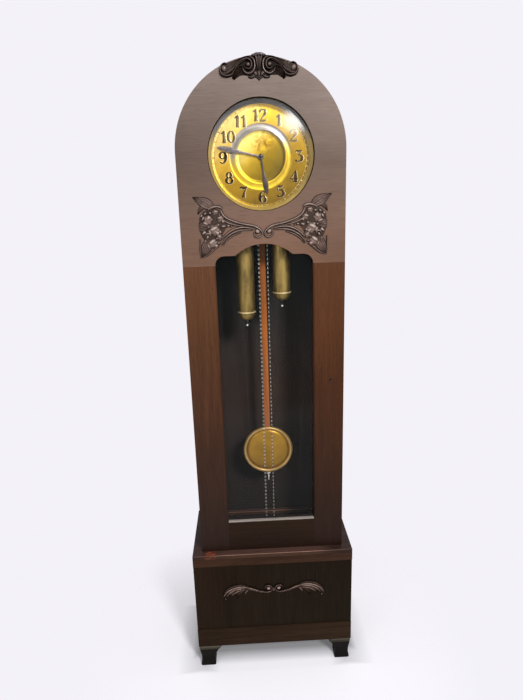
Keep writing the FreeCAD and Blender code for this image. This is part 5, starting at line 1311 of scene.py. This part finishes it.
def lay_floor():
    """A pale floor with painted shade round the base: its colour is dimmed under the base as a
    painted shadow, and a glow, weak near the base and bright at the base's front edge and away from
    it, paints the floor's light. It fades out with the distance from the base's footprint,
    |max(|place| - footprint, 0)|. Only the camera sees its glow."""
    mesh = bpy.data.meshes.new("floor")
    corners = [(-1, -1), (1, -1), (1, 1), (-1, 1)]
    mesh.from_pydata([(FLOOR_REACH * x, FLOOR_REACH * y, 0) for x, y in corners], [],
                     [(0, 1, 2, 3)])
    floor = bpy.data.objects.new("floor", mesh)
    bpy.context.scene.collection.objects.link(floor)
    made, tree, place = new_material("pale_floor")
    half_x, half_y = FOOTPRINT
    off = vectors(tree, "ABSOLUTE", place)
    off_x, off_y, _ = axes(tree, off)
    cloud = noise(tree, place, 2.0, 2.0)
    pale = shaded(tree, cloud, (0.86, 0.85, 0.90), (0.88, 0.87, 0.92))
    # painted shadow: the floor's colour is dimmed under the base
    shadow_under_base = maths(tree, "MAXIMUM", level(tree, off_y, 0.070, 0.100, 0.36, 1.0),
                       level(tree, off_x, half_x - 0.01, half_x + 0.03))
    shader = tree.nodes["Principled BSDF"]
    fill(tree, shader, {"Base Color": mixed(tree, pale, shadow_under_base), "Roughness": 0.9,
                        "Specular IOR Level": 0.0})
    outside = vectors(tree, "SUBTRACT", off, FOOTPRINT + (0.0,))
    distance = vectors(tree, "LENGTH", vectors(tree, "MAXIMUM", outside, (0.0, 0.0, 0.0)))
    # painted light: a glow, weak near the base and strong at its front edge and away from it
    between_feet = maths(tree, "MULTIPLY", level(tree, off_y, 0.090, 0.128, 0.0, 0.36),
                         level(tree, off_x, 0.19, half_x, 1.0, 0.0))
    front = maths(tree, "MAXIMUM", level(tree, off_y, half_y, 0.160, 0.0, 0.38), between_feet)
    glow = maths(tree, "MAXIMUM", level(tree, distance, 0.0, 0.08, 0.11, 0.37), front)
    seen = node(tree, "ShaderNodeLightPath").outputs["Is Camera Ray"]
    bright = node(tree, "ShaderNodeEmission", {"Color": (0.97, 0.96, 1.0, 1.0),
                                               "Strength": maths(tree, "MULTIPLY", glow, seen)})
    lit = node(tree, "ShaderNodeAddShader", {0: shader.outputs[0], 1: bright.outputs[0]})
    clear = node(tree, "ShaderNodeBsdfTransparent")
    blend = node(tree, "ShaderNodeMixShader", {0: level(tree, distance, *FLOOR_FADE),
                                               1: lit.outputs[0], 2: clear.outputs[0]})
    out = [n for n in tree.nodes if n.type == "OUTPUT_MATERIAL"][0]
    fill(tree, out, {"Surface": blend.outputs[0]})
    mesh.materials.append(made)


def lamp(name, place, target, size, power):
    """A soft oval lamp at a place, turned to its target. All are in metres and watts."""
    data = bpy.data.lights.new(name, "AREA")
    data.shape = "ELLIPSE"
    data.size, data.size_y = size
    data.energy = power
    made = bpy.data.objects.new(name, data)
    made.location = place
    made.rotation_euler = (Vector(target) - Vector(place)).to_track_quat("-Z", "Y").to_euler()
    bpy.context.scene.collection.objects.link(made)


set_camera()
set_world()
lay_floor()
lamp("soft_key", (1.08, -2.9, 2.88), (0.0, 0.0, 1.2), (0.66, 0.52), 86.0)
lamp("soft_fill", (-1.9, -2.3, 1.5), (0.0, 0.0, 0.9), (1.3, 1.3), 9.0)

# ---- finishes ----
# the case's colour at heights: its stain, paler and greyer upwards as painted sheen
CASE_STAIN_AND_SHEEN = [(0.08, (0.012, 0.008, 0.006)), (0.44, (0.017, 0.011, 0.009)),
              (1.01, (0.034, 0.022, 0.017)), (1.90, (0.060, 0.052, 0.052))]
# pale colour of the sill's top: wear and painted sheen
SILL_WEAR_AND_SHEEN = (0.56, 0.52, 0.50)

# Each wood: its colour at heights, the way of its grain, contrast, roughness, shine and the
# rest. On the case and the door the colour grows paler and greyer upwards: stain and painted sheen.
WOODS = {
    # stiles: paler upwards as painted light
    "stile_oak": ([(0.44, (0.021, 0.0084, 0.0052)), (0.61, (0.031, 0.0134, 0.0074)),
                   (0.79, (0.051, 0.0202, 0.0098)), (1.01, (0.077, 0.0275, 0.0112)),
                   (1.19, (0.108, 0.0395, 0.0145)), (1.37, (0.132, 0.0510, 0.0215))],
                  "z", 0.24, (0.42, 0.55), 0.15,
                  {"across": [(-0.23, (1.08, 1.13, 1.20)), (0.23, (0.95, 0.84, 0.65))]}),
    # arch: paler and greyer at the top as painted sheen, darker and greyer to the left as painted
    # reflection
    "arch_oak": ([(1.36, (0.205, 0.103, 0.062)), (1.44, (0.196, 0.105, 0.068)),
                  (1.53, (0.170, 0.098, 0.068)), (1.66, (0.137, 0.086, 0.063)),
                  (1.80, (0.180, 0.128, 0.104)), (1.90, (0.235, 0.175, 0.148))],
                 "x", 0.10, (0.40, 0.52), 0.3,
                 {"pores": 0.25, "cloudy": 0.24,
                  "across": [(-0.23, (0.86, 0.88, 0.90)), (0.0, 1.0), (0.23, (0.99, 0.94, 0.87))]}),
    # bottom rail: the sill's top is pale, as wear and painted sheen
    "rail_oak": ([(0.44, (0.023, 0.0115, 0.0072)), (0.5425, (0.033, 0.0175, 0.0105)),
                  (0.5435, (0.42, 0.36, 0.33)), (0.55, (0.46, 0.40, 0.37))],
                 "x", 0.22, (0.45, 0.6), 0.06, {}),
    "case_oak": (CASE_STAIN_AND_SHEEN, "z", 0.2, (0.45, 0.6), 0.12, {}),
    "roof_oak": (CASE_STAIN_AND_SHEEN, "y", 0.2, (0.45, 0.6), 0.15, {}),
    "base_oak": ([(0.08, (0.023, 0.0125, 0.0066)), (0.44, (0.021, 0.0105, 0.0055))],
                 "z", 0.3, (0.5, 0.65), 0.04,
                 {"across": [(-0.26, (1.22, 1.34, 1.48)), (0.26, (0.77, 0.98, 1.08))]}),
    "base_rail_oak": ([(0.08, (0.032, 0.0165, 0.0083)), (0.155, (0.032, 0.0165, 0.0083)),
                       (0.39, (0.060, 0.0270, 0.0145)), (0.44, (0.060, 0.0270, 0.0145))],
                      "x", 0.3, (0.5, 0.62), 0.05,
                      {"across": [(-0.26, (1.02, 1.05, 1.12)), (0.26, (1.18, 1.28, 1.40))]}),
    "ledge_oak": ([(0.41, (0.064, 0.029, 0.016)), (0.437, (0.066, 0.030, 0.017)),
                   (0.4395, (0.112, 0.057, 0.046))],
                  "x", 0.3, (0.4, 0.55), 0.15,
                  {"across": [(-0.26, 0.5), (-0.20, 0.7), (-0.16, 1.1), (0.05, 1.5), (0.15, 1.2),
                              (0.20, 0.5), (0.26, 0.42)],
                   "patch": ((-0.203, -0.123, ledge_z * MM), 0.024, (0.30, 0.075, 0.036))}),
    "worn_edge": ([(0.08, (0.040, 0.020, 0.013)), (0.42, (0.055, 0.024, 0.015)),
                   (0.438, (0.26, 0.13, 0.095)), (1.31, (0.15, 0.08, 0.055)),
                   (1.90, (0.20, 0.15, 0.12))], "x", 0.4, (0.4, 0.6), 0.2, {}),
    "ledge_worn": ([(0.425, (0.07, 0.035, 0.022)), (0.4365, (0.07, 0.035, 0.022)),
                    (0.4385, (0.40, 0.22, 0.16))], "x", 0.5, (0.4, 0.6), 0.2,
                   {"across": [(-0.26, 0.3), (-0.20, 0.4), (-0.16, 1.1), (0.10, 1.5),
                               (0.18, 0.6), (0.26, 0.3)]}),
    # chamfers round the window and the sill: pale as wear and painted sheen
    "chamfer_wear_and_sheen": ([(0.51, SILL_WEAR_AND_SHEEN), (0.553, SILL_WEAR_AND_SHEEN), (0.58, (0.24, 0.14, 0.105)),
                      (0.81, (0.26, 0.15, 0.115)), (1.38, (0.50, 0.34, 0.28))],
                     "x", 0.3, (0.4, 0.6), 0.2, {}),
    "bead_oak": ([(0.538, (0.03, 0.022, 0.019)), (1.44, (0.05, 0.035, 0.028))],
                 "x", 0.2, (0.45, 0.6), 0.1, {}),
    # interior: lighter to the right as painted light where the door's shadow falls, darker towards
    # the top as painted shade
    "inner_wood": ([(0.08, (0.028, 0.024, 0.022)), (0.62, (0.044, 0.032, 0.027)),
                    (0.90, (0.076, 0.048, 0.038)), (1.30, (0.040, 0.040, 0.041)),
                    (1.90, (0.012, 0.012, 0.013))], "z", 0.2, (0.6, 0.8), 0.03,
                   {"behind": (0.134, (0.070, 0.045, 0.033)),
                    "across": [(-0.2, 0.78), (0.0, 0.95), (0.2, 1.25)]}),
    "seat_wood": ([(0.08, (0.05, 0.035, 0.022)), (1.90, (0.055, 0.04, 0.026))],
                  "x", 0.2, (0.5, 0.7), 0.1, {}),
    "foot_oak": ([(0.0, (0.0085, 0.0070, 0.0055)), (0.067, (0.0085, 0.0070, 0.0055)),
                  (0.0705, (0.060, 0.052, 0.038)), (0.076, (0.072, 0.062, 0.046)),
                  (0.0795, (0.14, 0.125, 0.098)), (0.0825, (0.12, 0.105, 0.082)),
                  (0.084, (0.006, 0.005, 0.004))], "x", 0.25, (0.45, 0.6), 0.1,
                 {"across": [(-0.26, 1.0), (0.17, 1.0), (0.19, 0.68), (0.26, 0.68)]}),
    "rod_wood": ([(0.65, (0.44, 0.170, 0.085)), (0.80, (0.52, 0.160, 0.050)),
                  (1.20, (0.56, 0.160, 0.024)), (1.71, (0.44, 0.13, 0.020))],
                 "z", 0.18, (0.4, 0.55), 0.2, {"pores": 0.15}),
    # black fillet round the dial opening: painted shadow line
    "shadow_line_black": ([(1.4, (0.006, 0.005, 0.004)), (1.9, (0.006, 0.005, 0.004))],
                     "x", 0.1, (0.5, 0.6), 0.05, {}),
}

# Each carving: the face it stands on, its height, the colours of its recesses, body and crests,
# which paint shade in the recesses and highlights on the crests, its shine, roughness and the rest.
CARVED = {
    "carved_oak_door": (door_front, 9.0, (0.054, 0.036, 0.029), (0.20, 0.128, 0.102),
                        (0.37, 0.28, 0.24), 0.6, 0.36, {}),
    "carved_oak_crest": (door_front, 13.0, (0.013, 0.009, 0.007), (0.086, 0.053, 0.040),
                         (0.105, 0.067, 0.054), 0.8, 0.30,
                         # painted shade on the crest's knob, from 9 mm below the case's top
                         {"smoked": ((case_top - 9.0) * MM, (0.42, 0.38, 0.36))}),
    "carved_oak_plinth": (panel_face, 9.0, (0.006, 0.004, 0.003), (0.13, 0.075, 0.054),
                          (0.42, 0.29, 0.245), 0.4, 0.40, {}),
}

# Each metal: its bright and aged colours, their shares of the noise, patches per metre, roughness
# and the rest.
METALS = {
    "track_brass": ((0.80, 0.62, 0.26), (0.50, 0.36, 0.10), (0.4, 0.6), 30.0, (0.25, 0.4), {}),
    # pale copy under the figures: painted highlight on their edges
    "edge_highlight_brass": ((0.86, 0.76, 0.46), (0.60, 0.48, 0.22), (0.4, 0.6), 60.0, (0.3, 0.45), {}),
    # painted reflection: gold below and grey above, on the collar and the bezel
    "collar_metal": ((0.95, 0.95, 0.95), (0.72, 0.72, 0.72), (0.35, 0.6), 14.0, (0.35, 0.5),
                     {"metallic": 0.35,
                      "heights": [(1.50, (0.80, 0.55, 0.13)), (1.69, (0.80, 0.58, 0.20)),
                                  (1.73, (0.34, 0.33, 0.33)), (1.80, (0.30, 0.31, 0.34))]}),
    # painted glare: the upper figures lighter and bluer
    "numeral_bronze": ((0.085, 0.048, 0.010), (0.040, 0.022, 0.005), (0.4, 0.6), 60.0, (0.35, 0.5),
                       {"heights": [(1.55, (1.0, 0.8, 0.4)), (1.62, (1.0, 0.8, 0.6)),
                                    (1.68, (1.15, 1.2, 1.4)), (1.72, (2.9, 3.8, 8.0)),
                                    (1.78, (3.4, 4.6, 10.0))]}),
    "hand_steel": ((0.34, 0.30, 0.29), (0.14, 0.115, 0.11), (0.4, 0.6), 40.0, (0.25, 0.4), {}),
    "hour_hand_steel": ((0.11, 0.085, 0.072), (0.05, 0.04, 0.034), (0.4, 0.6), 40.0, (0.25, 0.4),
                        {}),
    "nut_steel": ((0.10, 0.10, 0.09), (0.03, 0.03, 0.025), (0.4, 0.6), 60.0, (0.18, 0.3), {}),
    # painted shade: the weights' faces that look aside darker than their fronts
    "weight_brass": ((0.36, 0.245, 0.062), (0.13, 0.085, 0.018), (0.36, 0.64), (60.0, 60.0, 14.0),
                     (0.34, 0.5), {"brush": (60.0, 60.0, 500.0), "metallic": 0.55,
                                   "sides": (0.20, 0.72, 1.2)}),
    # painted highlight: the weights' beads pale as their bright lines
    "bead_highlight_brass": ((0.90, 0.72, 0.38), (0.66, 0.48, 0.19), (0.4, 0.6), 30.0, (0.3, 0.4),
                   {"bump": 0.05, "metallic": 0.3}),
    "bob_brass": ((0.46, 0.25, 0.022), (0.31, 0.165, 0.014), (0.36, 0.64), 14.0, (0.3, 0.45),
                  {"metallic": 0.7, "heights": [(0.66, 0.84), (0.74, 1.0), (0.82, 1.1)]}),
    "bob_rim_brass": ((0.60, 0.38, 0.13), (0.44, 0.27, 0.08), (0.36, 0.64), 20.0, (0.3, 0.45),
                      {"metallic": 0.6}),
    "movement_brass": ((0.58, 0.42, 0.16), (0.30, 0.20, 0.07), (0.36, 0.6), 20.0, (0.25, 0.4), {}),
    "movement_steel": ((0.42, 0.41, 0.39), (0.20, 0.18, 0.16), (0.38, 0.6), 30.0, (0.25, 0.4), {}),
    "gong_steel": ((0.10, 0.11, 0.13), (0.05, 0.045, 0.045), (0.4, 0.6), 30.0, (0.3, 0.45), {}),
    "hinge_brass": ((0.40, 0.30, 0.13), (0.14, 0.10, 0.05), (0.38, 0.6), 40.0, (0.3, 0.45), {}),
    # near-white links: painted glints, darkening by turns
    "chain_steel": ((1.0, 0.95, 0.84), (0.80, 0.74, 0.64), (0.38, 0.6), 90.0, (0.22, 0.35),
                    {"metallic": 0.25, "pitch": LINK_PITCH * MM}),
    # near-white steel: steel and painted glint on the small nuts, the stud and the balls
    "pale_glint_steel": ((0.90, 0.89, 0.86), (0.60, 0.58, 0.55), (0.4, 0.6), 60.0, (0.2, 0.3),
                 {"metallic": 0.6}),
}

looks = {name: oak(name, *look, **rest) for name, (*look, rest) in WOODS.items()}
for name, (face, height, *look, rest) in CARVED.items():
    looks[name] = carved_wood(name, face, face - height, *look, **rest)
for name, (*look, rest) in METALS.items():
    looks[name] = metal(name, *look, **rest)
looks["dial_brass"] = dial_metal("dial_brass")
# the window glass is grey-blue below 0.93 m as a painted reflection
looks["window_glass"] = clear_glass("window_glass", 0.04, 0.5,
                                    sheen_below=(0.93, (0.14, 0.145, 0.15)))
looks["dial_glass"] = clear_glass("dial_glass", 0.075, 1.0, 0.13)

# ---- CAD nodes that stay as they are ----
KEPT = {
    "window_glass": ["window_glass"],
    "bead_oak": ["window_beads"],
    "inner_wood": ["base_floor", "back_board"],
    "seat_wood": ["seat_board", "seat_cleats", "gong_block"],
    "gong_steel": ["gong_coil"],
    "movement_steel": ["hammer", "lock_bolt", "anchor"],
    "hinge_brass": ["hinge_case_leaves", "hinge_door_leaves", "hinge_pins", "door_lock"],
    "movement_brass": ["movement_front_plate", "movement_back_plate", "movement_pillars",
                       "pendulum_cock", "time_great_wheel", "strike_great_wheel", "centre_wheel",
                       "third_wheel", "escape_wheel", "minute_wheel", "hour_wheel"],
}
for finish, names in KEPT.items():
    for name in names:
        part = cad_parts[name]
        if not part.material_slots:
            part.data.materials.append(looks[finish])
        for place in part.material_slots:
            place.material = looks[finish]

# ---- wooden case and door ----
for side in ("left", "right"):
    board("base_side_" + side, looks["base_oak"], "case", worn=looks["worn_edge"])
    board("case_side_" + side, looks["case_oak"], "case")
    board("door_stile_" + side, looks["stile_oak"], "door", 0.5, chamfer=looks["chamfer_wear_and_sheen"])
board("base_front_rails", looks["base_rail_oak"], "case", 0.6)
board("base_front_panel", looks["base_oak"], "case", 0.6)
board("base_top_board", looks["ledge_oak"], "case", 1.2, worn=looks["ledge_worn"])
board("arch_roof", looks["roof_oak"], "case")
board("door_bottom_rail", looks["rail_oak"], "door", 0.5, chamfer=looks["chamfer_wear_and_sheen"],
      sill=window_foot - 0.5)
board("door_arch_board", looks["arch_oak"], "door", 0.5)
feet("feet_front", looks["foot_oak"], "front_feet")
feet("feet_rear", looks["foot_oak"], "rear_feet")
key_plate(looks["nut_steel"])

# ---- carvings, dial, glass, pendulum, weights ----
crest_carving(looks["carved_oak_crest"])
spandrel_carving(looks["carved_oak_door"])
plinth_carving(looks["carved_oak_plinth"])
dial_sheet(looks["dial_brass"])
dial_collar(looks["collar_metal"])
minute_track(looks["track_brass"])
dial_figures(looks["numeral_bronze"], looks["edge_highlight_brass"])
hand("hand_minute", 123.0, 14.0, 283.0, 7.0, 2.5, dial_face - 9.6, looks["hand_steel"],
     "centre_arbor", "minute_hand")
hand("hand_hour", 101.0, 15.0, 171.0, 7.8, 3.85, dial_face - 5.6, looks["hour_hand_steel"],
     "hour_pipe", "hour_hand")
hand_nut(looks["nut_steel"])
domed_glass(looks["dial_glass"])
bezel(looks["collar_metal"])
opening_lip(looks["shadow_line_black"])
pendulum_bob(looks["bob_brass"], looks["bob_rim_brass"])
pendulum_rod(looks["rod_wood"], looks["bob_brass"], looks["movement_steel"], looks["pale_glint_steel"])
rating_nut(looks["pale_glint_steel"])
for side in ("time", "strike"):
    weight("weight_" + side, looks["weight_brass"], looks["bead_highlight_brass"], looks["nut_steel"],
           looks["pale_glint_steel"], side + "_weight")
    chain(side, looks["chain_steel"])

bpy.context.scene.view_settings.view_transform = "Standard"
